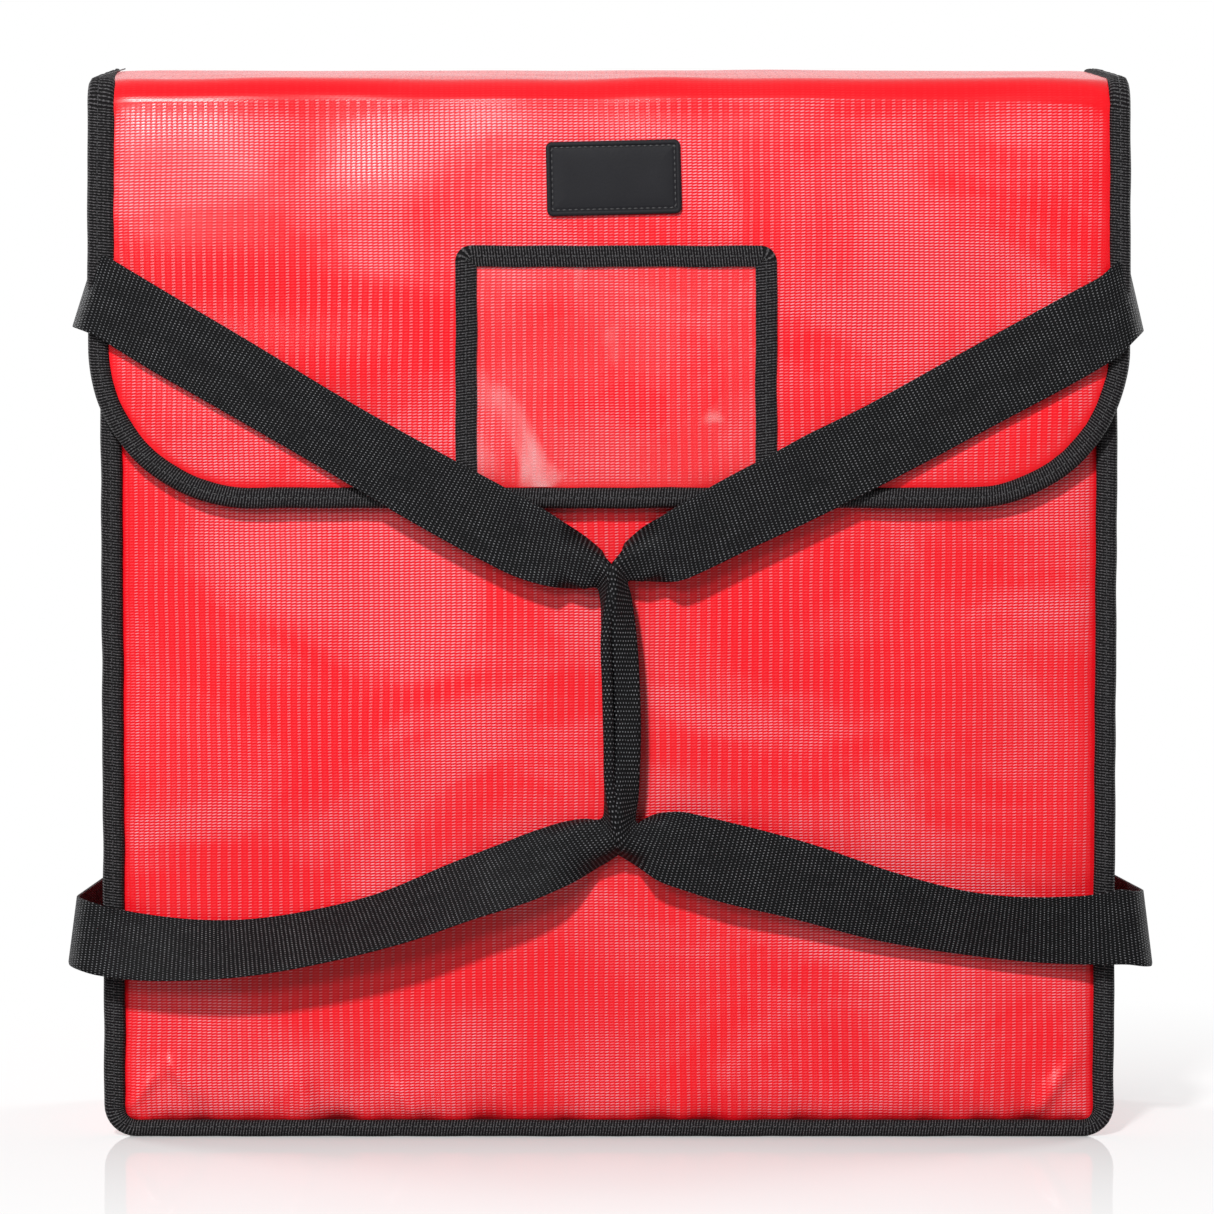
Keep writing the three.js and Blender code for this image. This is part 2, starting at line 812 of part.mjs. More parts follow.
// The sloping run from the turn to the knot. It sags a little and leans back in the middle.
function runStations(from, to, { sag, lean, foldShare }) {
  const steps = 8;
  const stations = [];
  for (let i = 0; i < steps; i += 1) {
    const along = i / steps;
    const droop = 4 * along * (1 - along);
    const tilt = THREE.MathUtils.degToRad(lean) * droop;
    stations.push({
      at: frontPoint(
        from.x + (to.x - from.x) * along,
        from.z + (to.z - from.z) * along - sag * droop,
      ),
      looks: point(0, -Math.cos(tilt), Math.sin(tilt)),
      fold: foldShare * share((along - foldStartShare) / (1 - foldStartShare)),
    });
  }
  return stations;
}

// The bend at the knot, where the webbing finishes its fold and turns into the upright grip
function knotStations(sign, gripX, height, rise, twist, { slopeDegrees, foldShare }) {
  const steps = 6;
  const widest = THREE.MathUtils.degToRad(90 - slopeDegrees);
  const stations = [];
  for (let i = 0; i <= steps; i += 1) {
    const done = i / steps;
    const angle = widest * (1 - done);
    const turned = sign * twist * share(done / twistDoneShare);
    stations.push({
      at: frontPoint(
        gripX + sign * knotRadius * (1 - Math.cos(angle)),
        height + rise * (clearance + knotRadius * Math.sin(angle)),
      ),
      looks: point(Math.sin(turned), -Math.cos(turned), 0),
      fold: foldShare + (1 - foldShare) * share(done / foldDoneShare),
    });
  }
  stations[steps].along = point(0, 0, -rise);
  return stations;
}

// A leg of a handle runs from the side strap to the grip. The lower one is listed from the grip
// outwards, so that its folded section meets the grip's.
function addLeg(name, { sign, gripX, twist, reach, height, leave, knotHeight, rise, run }) {
  const knot = knotStations(sign, gripX, knotHeight, rise, twist, run);
  const turn = turnStations(sign, reach, height, leave);
  const from = { x: sign * (reach - turnRadius), z: leave };
  const to = knot[0].at;
  const stations = [...turn, ...runStations(from, to, run), ...knot];
  addPiece(name, 'webbing', webbing(rise > 0 ? stations : stations.reverse()));
}

// The grip is the webbing folded in three, running down between the two knots
function addGrip(name, gripX, sign, twist) {
  const steps = 3;
  const turned = sign * twist;
  const stations = [];
  for (let i = 0; i <= steps; i += 1) {
    stations.push({
      at: point(
        gripX,
        -(coverFace + webbingStandOff + frontBulge(gripX, upperKnotHeight)),
        upperKnotHeight + (lowerKnotHeight - upperKnotHeight) * i / steps,
      ),
      looks: point(Math.sin(turned), -Math.cos(turned), 0),
      fold: 1,
      along: point(0, 0, -1),
    });
  }
  addPiece(name, 'webbing', webbing(stations));
}

function addHandles() {
  const handles = [
    {
      side: 'left',
      sign: -1,
      gripX: gripMeeting - clearance / 2 - foldedDepth / 2,
      twist: Math.PI / 2,
      upper: leftUpperRun,
      lower: leftLowerRun,
    },
    {
      side: 'right',
      sign: 1,
      gripX: gripMeeting + clearance / 2 + foldedWidth / 2,
      twist: 0,
      upper: rightUpperRun,
      lower: rightLowerRun,
    },
  ];
  handles.forEach(({ side, sign, gripX, twist, upper, lower }) => {
    addLeg(`${side}_upper_leg`, {
      sign,
      gripX,
      twist,
      reach: upperStrapReach,
      height: upperStrapHeight,
      leave: upperStrapHeight - turnDrop,
      knotHeight: upperKnotHeight,
      rise: 1,
      run: upper,
    });
    addGrip(`${side}_grip`, gripX, sign, twist);
    addLeg(`${side}_lower_leg`, {
      sign,
      gripX,
      twist,
      reach: lowerStrapReach,
      height: lowerStrapHeight,
      leave: lowerStrapHeight - turnDrop,
      knotHeight: lowerKnotHeight,
      rise: -1,
      run: lower,
    });
  });
}

addFrontAndBack();
addSides();
addBottom();
addSeamTapes();
addMouthTape();
addLid();
addFlap();
addHookAndLoop();
addTicketPocket();
addLabel();
addStraps();
addHandles();

export default group;
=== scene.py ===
"""An insulated delivery bag of red reinforced vinyl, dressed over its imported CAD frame.

Lengths in this file are millimetres, and the meshes are written in metres. The front of the bag
faces -Y, and Z is up.
"""

from functools import partialmethod  # noqa: E402
import math  # noqa: E402

import bpy  # noqa: E402
import numpy as np  # noqa: E402
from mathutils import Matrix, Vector  # noqa: E402


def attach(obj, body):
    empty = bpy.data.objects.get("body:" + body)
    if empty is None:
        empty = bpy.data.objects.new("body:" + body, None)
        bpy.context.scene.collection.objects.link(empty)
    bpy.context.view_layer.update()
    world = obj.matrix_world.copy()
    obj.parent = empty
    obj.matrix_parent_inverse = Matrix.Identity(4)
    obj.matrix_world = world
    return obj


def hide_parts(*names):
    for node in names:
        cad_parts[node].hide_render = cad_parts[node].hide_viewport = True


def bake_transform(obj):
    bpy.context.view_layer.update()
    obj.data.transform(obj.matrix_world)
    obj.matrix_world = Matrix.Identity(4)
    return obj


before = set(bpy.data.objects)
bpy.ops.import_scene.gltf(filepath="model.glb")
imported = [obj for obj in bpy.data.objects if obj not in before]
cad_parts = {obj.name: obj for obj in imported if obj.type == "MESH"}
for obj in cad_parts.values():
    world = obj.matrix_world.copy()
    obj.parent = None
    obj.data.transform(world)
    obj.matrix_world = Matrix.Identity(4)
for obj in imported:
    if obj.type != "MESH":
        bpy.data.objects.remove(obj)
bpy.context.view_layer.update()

MM = 0.001

# Driving dimensions of the bag, as its frame has them
BODY_WIDTH = 507.0
BODY_DEPTH = 127.0
REAR_HEIGHT = 541.0
LID_DROP = 12.0
COVER_WIDTH = 517.0
FLAP_BOTTOM = 316.0
FLAP_CORNER = 80.0
SHOULDER = 16.0
CROWN = 4.0
SIDE_CROWN = 2.5
CORNER = 16.0
TAPE = 10.5
TAPE_THICK = 4.4
MOUTH_TAPE_THICK = 2.0
SKIN_THICK = 1.0
FOAM_THICK = 5.4
COVER_FOAM_THICK = 3.4
LINING_THICK = 0.8
HOOK_AND_LOOP_THICK = 1.2
CLEARANCE = 0.3
LOOSE_CLEARANCE = 0.6

# Sizes worked out from those
BODY_HALF = BODY_WIDTH / 2
HALF_DEPTH = BODY_DEPTH / 2
WALL = SKIN_THICK + FOAM_THICK + LINING_THICK + 2 * CLEARANCE
COVER_WALL = SKIN_THICK + COVER_FOAM_THICK + LINING_THICK + 2 * CLEARANCE
PANEL_HALF = BODY_HALF - TAPE - CLEARANCE
COVER_HALF = COVER_WIDTH / 2
COVER_PANEL_HALF = COVER_HALF - TAPE - CLEARANCE
LOOP_FACE = HALF_DEPTH + LOOSE_CLEARANCE + HOOK_AND_LOOP_THICK
HOOK_FACE = LOOP_FACE + LOOSE_CLEARANCE + HOOK_AND_LOOP_THICK
COVER_FACE = HOOK_FACE + LOOSE_CLEARANCE + COVER_WALL
SLOPE = LID_DROP / BODY_DEPTH
SLOPE_ANGLE = math.atan(SLOPE)
SHOULDER_Y = SHOULDER - COVER_FACE


def lid_height(y):
    """Height of the lid's outer face above a point at depth y."""
    return REAR_HEIGHT - SLOPE * (HALF_DEPTH - y)


SHOULDER_Z = (lid_height(SHOULDER_Y - SHOULDER * math.sin(SLOPE_ANGLE))
              - SHOULDER * math.cos(SLOPE_ANGLE))
FOLD_HEIGHT = SHOULDER_Z - CLEARANCE / 2

# The walls end below the lid, where its inside falls away at the shoulder
SHOULDER_INSIDE = SHOULDER - COVER_WALL
SHOULDER_RUN = HALF_DEPTH + SHOULDER_Y
SHOULDER_FALL = (SHOULDER_INSIDE / math.cos(SLOPE_ANGLE) - SLOPE * SHOULDER_RUN
                 - math.sqrt(SHOULDER_INSIDE ** 2 - SHOULDER_RUN ** 2))
MOUTH_DROP = SHOULDER_FALL + ((COVER_WALL + MOUTH_TAPE_THICK + 2 * CLEARANCE)
                              / math.cos(SLOPE_ANGLE))
FRONT_TOP = lid_height(-HALF_DEPTH) - MOUTH_DROP
BACK_TOP = lid_height(HALF_DEPTH - WALL) - MOUTH_DROP

# The photograph's camera: what it aims at, in millimetres, and how far off it is, in metres
AIM = (-1.0, -73.0, 266.9)
CAMERA_DISTANCE = 2.3
CAMERA_RISE = math.radians(3.0)


# Numbers on their way through a material's nodes, and the material that they belong to

class Signal:
    """A number that varies over a surface. Arithmetic on it adds Math nodes."""

    def __init__(self, finish, socket):
        self.finish = finish
        self.socket = socket

    def maths(self, operation, *others, clamp=False):
        node = self.finish.add("ShaderNodeMath", {"operation": operation, "use_clamp": clamp},
                               dict(enumerate((self, *others))))
        return Signal(self.finish, node.outputs[0])

    __add__ = __radd__ = partialmethod(maths, "ADD")
    __sub__ = partialmethod(maths, "SUBTRACT")
    __mul__ = __rmul__ = partialmethod(maths, "MULTIPLY")
    __truediv__ = partialmethod(maths, "DIVIDE")
    __pow__ = partialmethod(maths, "POWER")
    sine = partialmethod(maths, "SINE")
    fraction = partialmethod(maths, "FRACT")
    floor = partialmethod(maths, "FLOOR")
    absolute = partialmethod(maths, "ABSOLUTE")

    def __rsub__(self, other):
        return (self * -1) + other

    def clamped(self):
        return self.maths("ADD", 0.0, clamp=True)

    def between(self, low, high, smooth=True):
        """0 below low, 1 above high."""
        node = self.finish.add("ShaderNodeMapRange",
                               {"interpolation_type": "SMOOTHSTEP" if smooth else "LINEAR"},
                               {"Value": self, "From Min": low, "From Max": high})
        return Signal(self.finish, node.outputs["Result"])


class Finish:
    """A material and the nodes that make it."""

    def __init__(self, name):
        self.material = bpy.data.materials.new(name)
        self.material.use_nodes = True
        self.tree = self.material.node_tree
        self.tree.nodes.clear()
        self.out = self.add("ShaderNodeOutputMaterial")

    def put(self, socket, value):
        """Links a value to a socket, or sets the socket to it."""
        if isinstance(value, Signal):
            value = value.socket
        if isinstance(value, bpy.types.NodeSocket):
            self.tree.links.new(value, socket)
        elif socket.type == "RGBA":
            socket.default_value = (*value, 1)
        else:
            socket.default_value = value

    def add(self, kind, settings=None, inputs=None):
        """One node: its settings first, then the values or links of its sockets."""
        node = self.tree.nodes.new(kind)
        for key, value in (settings or {}).items():
            setattr(node, key, value)
        for key, value in (inputs or {}).items():
            self.put(node.inputs[key], value)
        return node

    def signal(self, kind, settings=None, inputs=None, output=0):
        return Signal(self, self.add(kind, settings, inputs).outputs[output])

    def cloth_place(self):
        """Where a point lies on the flat cloth, in millimetres: along it and across it."""
        place = self.add("ShaderNodeUVMap", {"uv_map": "cloth"}).outputs[0]
        parts = self.add("ShaderNodeSeparateXYZ", None, {0: place})
        return Signal(self, parts.outputs[0]) * 1000, Signal(self, parts.outputs[1]) * 1000

    def on_object(self):
        return self.add("ShaderNodeTexCoord").outputs["Object"]

    def point(self, x, y, z=0.0):
        return self.add("ShaderNodeCombineXYZ", None, {0: x, 1: y, 2: z}).outputs[0]

    def noise(self, place, scale=1.0, detail=2.0, roughness=0.5, distortion=0.0):
        return self.signal("ShaderNodeTexNoise", None, {
            "Vector": place, "Scale": scale, "Detail": detail, "Roughness": roughness,
            "Distortion": distortion})

    def blend(self, part, first, second):
        """A colour between two."""
        return self.add("ShaderNodeMix", {"data_type": "RGBA"},
                        {0: part, 6: first, 7: second}).outputs[2]

    def relief(self, height, distance, strength=1.0, under=None):
        """Bump from a height of 0 to 1, where 1 stands that many millimetres proud."""
        inputs = {"Height": height, "Distance": distance * MM, "Strength": strength}
        if under is not None:
            inputs["Normal"] = under
        return self.add("ShaderNodeBump", None, inputs).outputs[0]

    def surface(self, **inputs):
        named = {key.replace("_", " "): value for key, value in inputs.items()}
        shader = self.add("ShaderNodeBsdfPrincipled", None, named)
        self.tree.links.new(shader.outputs[0], self.out.inputs[0])
        return self.material


# Finishes, with the pitches of their weaves in millimetres

VINYL_COLUMN = 2.55
VINYL_ROW = 1.46
VINYL_SLANT = 0.18
LINING_THREAD = 0.9
TAPE_RIB = 1.42
TAPE_THREAD = 1.8
WEBBING_ROW = 2.05
WEBBING_THREAD = 1.35


def reinforced_vinyl():
    """Glossy red vinyl over an open weave. Short slanted threads stand up in columns, and every
    second column is fainter. The weave flattens near the seams. A painted highlight lightens the
    top of each thread and a painted shade darkens its lower side, and patches of painted sheen,
    strongest just below the flap's fold, stand in for glare."""
    finish = Finish("reinforced_vinyl")
    along, up = finish.cloth_place()
    edge = finish.signal("ShaderNodeAttribute", {"attribute_name": "from_seam"}, None, "Fac")
    # Painted highlight: how much whitish sheen is painted into the vinyl at each point, from 0 to
    # 1
    painted_sheen = finish.signal("ShaderNodeAttribute", {"attribute_name": "painted_sheen"}, None, "Fac")
    slow = finish.noise(finish.point(along * 0.009, up * 0.012))
    column = (along + (slow - 0.5) * 4) / VINYL_COLUMN
    off = (column.fraction() - 0.5) * VINYL_COLUMN
    full = (column.floor() * 0.5).fraction().absolute() * 2
    near = 1 - off.absolute().between(0.48, 1.12)
    phase = (up - off * VINYL_SLANT) / VINYL_ROW + (slow - 0.5) * 2.0
    wave = (phase * (2 * math.pi)).sine()
    # The wave moved towards each thread's lower side, where the painted shade goes
    under = ((phase + 0.38) * (2 * math.pi)).sine()
    fine = finish.noise(finish.point(along * 0.55, up * 0.7))
    # Painted highlight: slow patches of whitish sheen painted in to stand in for glare, added to
    # the painted sheen below the fold. The same level also raises the weave of the fainter
    # columns.
    painted_glare_patches = finish.noise(finish.point(along * 0.010, up * 0.013, 7.0), 1.0, 4.0, 0.55, 0.8)
    painted_sheen_level = (painted_glare_patches + painted_sheen * 0.16).between(0.38, 0.66) * 0.72 + painted_sheen * 0.28 + 0.06
    flat = edge.between(0.0030, 0.0080) * 0.95 + 0.05
    level = (full * 0.9 + (1 - full) * (painted_sheen_level * 0.75 + 0.15)) * flat
    height = wave * (near * level * 0.65 + 0.12) * 0.5 + 0.5
    bump = finish.relief(height + fine * 0.10, 0.10)
    shade = finish.blend(fine.between(0.3, 0.8) * 0.3, (0.90, 0.007, 0.015),
                         (0.86, 0.006, 0.012))
    # Painted shade: a dark red line along the lower side of each thread, where it would be in
    # shade
    painted_ridge_shade = (near * level * 0.55 + (1 - near) * painted_sheen_level * flat * 0.30).clamped()
    shade = finish.blend(under.between(0.0, 0.8) * painted_ridge_shade, shade, (0.46, 0.001, 0.005))
    # Painted highlight: whitish glints on each thread, and whitish rows where the painted sheen is
    # strong
    painted_glint = (near * level * (painted_sheen_level * 0.50 + 0.30) + (1 - near) * painted_sheen_level * flat * 0.20).clamped()
    shade = finish.blend((wave + painted_sheen_level * 0.15).between(0.20, 0.85) * painted_glint, shade,
                         (0.97, 0.60, 0.69))
    rough = fine * 0.08 + 0.19
    return finish.surface(Base_Color=shade, Roughness=rough, Normal=bump,
                          Specular_IOR_Level=0.17)


def lining_cloth():
    """Dark coated nylon."""
    finish = Finish("lining_cloth")
    along, up = finish.cloth_place()
    turn = math.pi / LINING_THREAD
    weave = (along * turn).sine() * (up * turn).sine() * 0.5 + 0.5
    crumple = finish.noise(finish.point(along, up), 0.035, 4.0, 0.55, 0.6)
    bump = finish.relief(crumple, 3.0, 0.5)
    bump = finish.relief(weave, 0.06, 1.0, bump)
    shade = finish.blend(crumple, (0.014, 0.015, 0.018), (0.040, 0.041, 0.048))
    return finish.surface(Base_Color=shade, Roughness=crumple * 0.2 + 0.42, Normal=bump)


def binding_tape():
    """Black ribbed tape: fine ribs across it and a denser edge."""
    finish = Finish("binding_tape")
    along, across = finish.cloth_place()
    wander = finish.noise(finish.point(along * 0.2, across * 0.6))
    ribs = ((along + across * 0.12 + wander * 0.6) * (2 * math.pi / TAPE_RIB)).sine() * 0.5 + 0.5
    threads = (across * (2 * math.pi / TAPE_THREAD) + ribs * 1.5).sine() * 0.5 + 0.5
    fuzz = finish.noise(finish.point(along, across), 1.3, 3.0)
    height = ribs * 0.8 + threads * 0.2
    bump = finish.relief(height + fuzz * 0.3, 0.40)
    # Painted highlight: the tops of the ribs are painted lighter, as glints
    shade = finish.blend(height.between(0.50, 0.92) * (fuzz.between(0.38, 0.60) * 0.8 + 0.2),
                         (0.004, 0.0035, 0.004), (0.125, 0.12, 0.125))
    return finish.surface(Base_Color=shade, Roughness=fuzz * 0.2 + 0.60, Normal=bump,
                          Specular_IOR_Level=0.09)


def webbing_weave():
    """Black webbing: rows of raised threads across it, with their glints painted into its colour
    as
    light grey dots: painted highlights.
    """
    finish = Finish("webbing_weave")
    along, across = finish.cloth_place()
    wander = finish.noise(finish.point(along * 0.08, across * 0.2))
    row = (along + wander * 0.5) / WEBBING_ROW
    thread = row.floor() * 0.5 + across / WEBBING_THREAD
    rise_row = ((row.fraction() - 0.5).absolute() * -2 + 1).between(0.25, 0.85)
    rise_thread = ((thread.fraction() - 0.5).absolute() * -2 + 1).between(0.15, 0.85)
    fuzz = finish.noise(finish.point(along, across), 1.5, 3.0)
    # Slow patches in how strongly the painted glints show
    painted_sheen = finish.noise(finish.point(along * 0.05, across * 0.12))
    height = rise_row * rise_thread
    bump = finish.relief(height + fuzz * 0.25, 0.5)
    # Painted highlight: the tops of the raised threads are painted light grey as glints
    glint = height.between(0.38, 0.92) * (fuzz.between(0.38, 0.58) * 0.7 + 0.3)
    shade = finish.blend(glint * (painted_sheen.between(0.2, 0.8) * 0.5 + 0.5),
                         (0.003, 0.003, 0.0035), (0.25, 0.253, 0.265))
    return finish.surface(Base_Color=shade, Roughness=fuzz * 0.2 + 0.50, Normal=bump,
                          Specular_IOR_Level=0.08)


def sewing_thread():
    finish = Finish("sewing_thread")
    twist = finish.noise(finish.on_object(), 2500.0, 1.0)
    shade = finish.blend(twist, (0.008, 0.008, 0.009), (0.075, 0.074, 0.078))
    return finish.surface(Base_Color=shade, Roughness=0.5, Specular_IOR_Level=0.3)


def clear_vinyl():
    """Window film with soft waves, and whitish streaks painted into it where it would catch the
    light:
    painted reflections, made by its light pink colour and a higher alpha there.
    """
    finish = Finish("clear_vinyl")
    along, up = finish.cloth_place()
    wave = finish.noise(finish.point(along * 0.018, up * 0.012), 1.0, 2.0, 0.4, 0.3)
    bump = finish.relief(wave, 1.6, 0.4)
    # Painted reflection: streaks where the light pink film is made more opaque, and a little
    # rougher
    painted_film_glare = finish.noise(finish.point(along * 0.022, up * 0.016), 1.0, 3.0, 0.45, 0.5)
    return finish.surface(Base_Color=(1.0, 0.86, 0.87),
                          Alpha=painted_film_glare.between(0.56, 0.80) * 0.40 + 0.012,
                          Roughness=painted_film_glare * 0.12 + 0.10, Normal=bump,
                          Specular_IOR_Level=0.6)


def moulded_rubber():
    finish = Finish("moulded_rubber")
    grain = finish.noise(finish.on_object(), 900.0, 3.0)
    patch = finish.noise(finish.on_object(), 40.0, 3.0)
    bump = finish.relief(grain, 0.08)
    shade = finish.blend(patch, (0.010, 0.010, 0.012), (0.017, 0.017, 0.020))
    return finish.surface(Base_Color=shade, Roughness=grain * 0.15 + 0.45, Normal=bump,
                          Specular_IOR_Level=0.09)


def hook_and_loop():
    finish = Finish("hook_and_loop")
    fuzz = finish.noise(finish.on_object(), 1400.0, 3.0, 0.7)
    bump = finish.relief(fuzz, 0.8)
    shade = finish.blend(fuzz, (0.00368, 0.00368, 0.00402), (0.0319, 0.0319, 0.0343))
    return finish.surface(Base_Color=shade, Roughness=0.9, Normal=bump)


VINYL = reinforced_vinyl()
LINING = lining_cloth()
BINDING = binding_tape()
WEBBING = webbing_weave()
THREAD = sewing_thread()
CLEAR = clear_vinyl()
RUBBER = moulded_rubber()
FUZZ = hook_and_loop()


# Meshes

def new_object(name, data):
    piece = bpy.data.objects.new(name, data)
    bpy.context.scene.collection.objects.link(piece)
    return piece


def unit(vectors):
    """The same directions, each of length 1."""
    return vectors / np.linalg.norm(vectors, axis=-1, keepdims=True)


def volume_of(points, faces):
    a, b, c, d = (points[faces[:, k]] for k in range(4))
    first = np.einsum("ij,ij->i", a, np.cross(b, c))
    second = np.einsum("ij,ij->i", a, np.cross(c, d))
    return (first.sum() + second.sum()) / 6


def make_piece(name, points, faces, places, materials, chosen=None, crease=50):
    """A closed mesh from points in millimetres, four-cornered faces and places on the cloth."""
    if volume_of(points, faces) < 0:
        faces = faces[:, ::-1]
    mesh = bpy.data.meshes.new(name)
    mesh.from_pydata((points * MM).tolist(), [], faces.tolist())
    layer = mesh.uv_layers.new(name="cloth")
    corner = np.empty(len(mesh.loops), int)
    mesh.loops.foreach_get("vertex_index", corner)
    layer.data.foreach_set("uv", (places[corner] * MM).ravel())
    for material in materials:
        mesh.materials.append(material)
    if chosen is not None:
        mesh.polygons.foreach_set("material_index", chosen)
    mesh.shade_smooth()
    mesh.set_sharp_from_angle(angle=math.radians(crease))
    mesh.validate()
    return new_object(name, mesh)


def shell(name, outer, inner, places, materials, crease=50, edge=None, painted_sheen=None):
    """A closed sheet with an outer and an inner face. Both are grids of points. Edge is how far
    each point is from the nearest seam, and the last argument is how much painted sheen, a painted
    highlight, the vinyl gets there, from 0 to 1."""
    rows, columns = outer.shape[:2]
    count = rows * columns
    index = np.arange(count).reshape(rows, columns)
    quads = np.stack([index[:-1, :-1], index[:-1, 1:], index[1:, 1:], index[1:, :-1]], -1)
    quads = quads.reshape(-1, 4)
    border = np.concatenate([index[0, :-1], index[:-1, -1], index[-1, :0:-1], index[:0:-1, 0]])
    after = np.roll(border, -1)
    rim = np.stack([after, border, border + count, after + count], -1)
    faces = np.concatenate([quads, quads[:, ::-1] + count, rim])
    chosen = np.concatenate([np.zeros(len(quads), int), np.full(len(quads), len(materials) > 1),
                             np.zeros(len(rim), int)])
    points = np.concatenate([outer.reshape(-1, 3), inner.reshape(-1, 3)])
    flat = places.reshape(-1, 2)
    piece = make_piece(name, points, faces, np.concatenate([flat, flat]), materials, chosen,
                       crease)
    if edge is not None:
        painted_sheen = 0 * edge if painted_sheen is None else painted_sheen
        for mark, value in (("from_seam", edge * MM), ("painted_sheen", painted_sheen)):
            piece.data.attributes.new(mark, "FLOAT", "POINT").data.foreach_set(
                "value", np.tile(value.ravel(), 2).astype(np.float32))
    return piece


def loft(name, rings, places, materials, crease=50):
    """A closed body through rings of points. Both ends are capped from side to side."""
    count, size = rings.shape[:2]
    index = np.arange(count * size).reshape(count, size)
    here, ahead = index[:-1], index[1:]
    around = np.stack([here, np.roll(here, -1, 1), np.roll(ahead, -1, 1), ahead], -1)
    low = np.arange(size // 2 - 1)
    high = size - 1 - low
    first, last = index[0], index[-1]
    first = np.stack([first[low + 1], first[low], first[high], first[high - 1]], -1)
    last = np.stack([last[low], last[low + 1], last[high - 1], last[high]], -1)
    faces = np.concatenate([around.reshape(-1, 4), first, last])
    return make_piece(name, rings.reshape(-1, 3), faces, places.reshape(-1, 2), materials,
                      None, crease)


def share(value):
    return np.clip(value, 0, 1)


def ease(value):
    value = share(value)
    return value * value * (3 - 2 * value)


def crown(x, z, half, high, fullness):
    """Bulge of a stuffed panel from the ground up, fullest in the middle."""
    from_middle = z / high * 2 - 1
    return (fullness * np.clip(1 - (x / half) ** 2, 0, None)
            * np.clip(1 - from_middle ** 2, 0, None))


def front_crown(x, z):
    return crown(x, z, BODY_HALF, FRONT_TOP, CROWN)


def ripple(where, seed, waves):
    """Uneven waves along an edge, between about -1 and 1."""
    chance = np.random.default_rng(seed)
    total = np.zeros_like(where, float)
    for wave in waves:
        total += np.sin(2 * math.pi * where / wave + chance.uniform(0, 2 * math.pi))
    return total / len(waves)


def dents(a, b, seed, sizes, count=5):
    """Soft dents all over a panel, between about -1 and 1."""
    chance = np.random.default_rng(seed)
    total = np.zeros_like(a, float)
    for size in sizes:
        for _ in range(count):
            turn, start = chance.uniform(0, 2 * math.pi, 2)
            wave = size * chance.uniform(0.75, 1.3)
            total += np.sin((a * math.cos(turn) + b * math.sin(turn)) * 2 * math.pi / wave + start)
    return total / (count * len(sizes)) * 2


def tucked(distance, along, seed, depth, pucker, reach):
    """How a panel dips into the binding at its edge, and puckers beside the seam."""
    dip = -depth * np.exp(-distance / reach)
    wrinkle = pucker * ripple(along, seed, (9, 13, 19, 27, 41)) * np.exp(-distance / 7)
    return dip + wrinkle


def spaced(low, high, count, crowd=0.0):
    """Values from low to high, closer together at both ends."""
    t = np.linspace(0, 1, count)
    t = (1 - crowd) * t + crowd * (0.5 - 0.5 * np.cos(math.pi * t))
    return low + (high - low) * t


# Each side's points, from how far across, how high and how far out they are
SIDES = {
    "front": lambda a, b, d: np.stack([a, -d, b], -1),
    "back": lambda a, b, d: np.stack([-a, d, b], -1),
    "left": lambda a, b, d: np.stack([-d, -a, b], -1),
    "right": lambda a, b, d: np.stack([d, a, b], -1),
}

# Where the walls end under their bindings, and how their corners are rounded
PANEL_REACH = PANEL_HALF + 3.0
PANEL_LOW = 5.0
PANEL_CORNER = 8.0
SIDE_WALL_REACH = HALF_DEPTH - 4.5
SIDE_LOW = 1.3
SIDE_CORNER = 4.0
SIDE_TOP = BACK_TOP - 1.2
FOOT_ROUND = 8.0
BOTTOM_HALF_WIDTH = PANEL_HALF - 3.5
BOTTOM_HALF_DEPTH = 58.8

# How panels tuck under their bindings: how deep, how puckered, and over what distance
FOOT_TUCK = (8.5, 1.2, 5.5)
EDGE_TUCK = (5.0, 0.5, 8.0)
SIDE_FOOT_TUCK = (2.4, 1.0, 5.5)
SIDE_EDGE_TUCK = (2.4, 0.5, 5.5)
COVER_TUCK = (2.6, 0.5, 6.5)

# Soft dents in the panels, and folds above their lower seam
WALL_DENT_SIZES = (70, 120, 210)
WALL_DENT_DEPTH = 1.2
COVER_DENT_SIZES = (55, 95, 170)
COVER_DENT_DEPTH = 1.3
FOOT_FOLD_SIZES = (27, 39, 66)
FOOT_FOLD_DEPTH = 2.2
FOOT_FOLD_REACH = 24.0
FOOT_FOLD_LEAN = 0.45

# Creases at the foot of the front and back walls: where each starts and ends, across and up
CREASES = [(-243, 13, -222, 38), (-222, 38, -200, 15), (-150, 12, -158, 42), (-96, 11, -112, 34),
           (214, 12, 236, 44)]
CREASE_HALF_WIDTH = 4.2
CREASE_HEIGHT = 2.4


def foot_folds(a, from_low, seed):
    """Soft folds that rise from the seam at a wall's foot."""
    folds = ripple(a + FOOT_FOLD_LEAN * from_low, seed, FOOT_FOLD_SIZES)
    return FOOT_FOLD_DEPTH * folds * np.exp(-from_low / FOOT_FOLD_REACH)


def foot_creases(a, b):
    """Short creases above the seam, where the vinyl is turned in."""
    total = np.zeros_like(a)
    for x0, z0, x1, z1 in CREASES:
        run = np.array([x1 - x0, z1 - z0])
        long = np.hypot(*run)
        t = ((a - x0) * run[0] + (b - z0) * run[1]) / long ** 2
        off = ((a - x0) * run[1] - (b - z0) * run[0]) / long
        ends = ease((t + 0.20) / 0.35) * ease((1.05 - t) / 0.6)
        total += ends * np.exp(-(off / CREASE_HALF_WIDTH) ** 2)
    return CREASE_HEIGHT * total


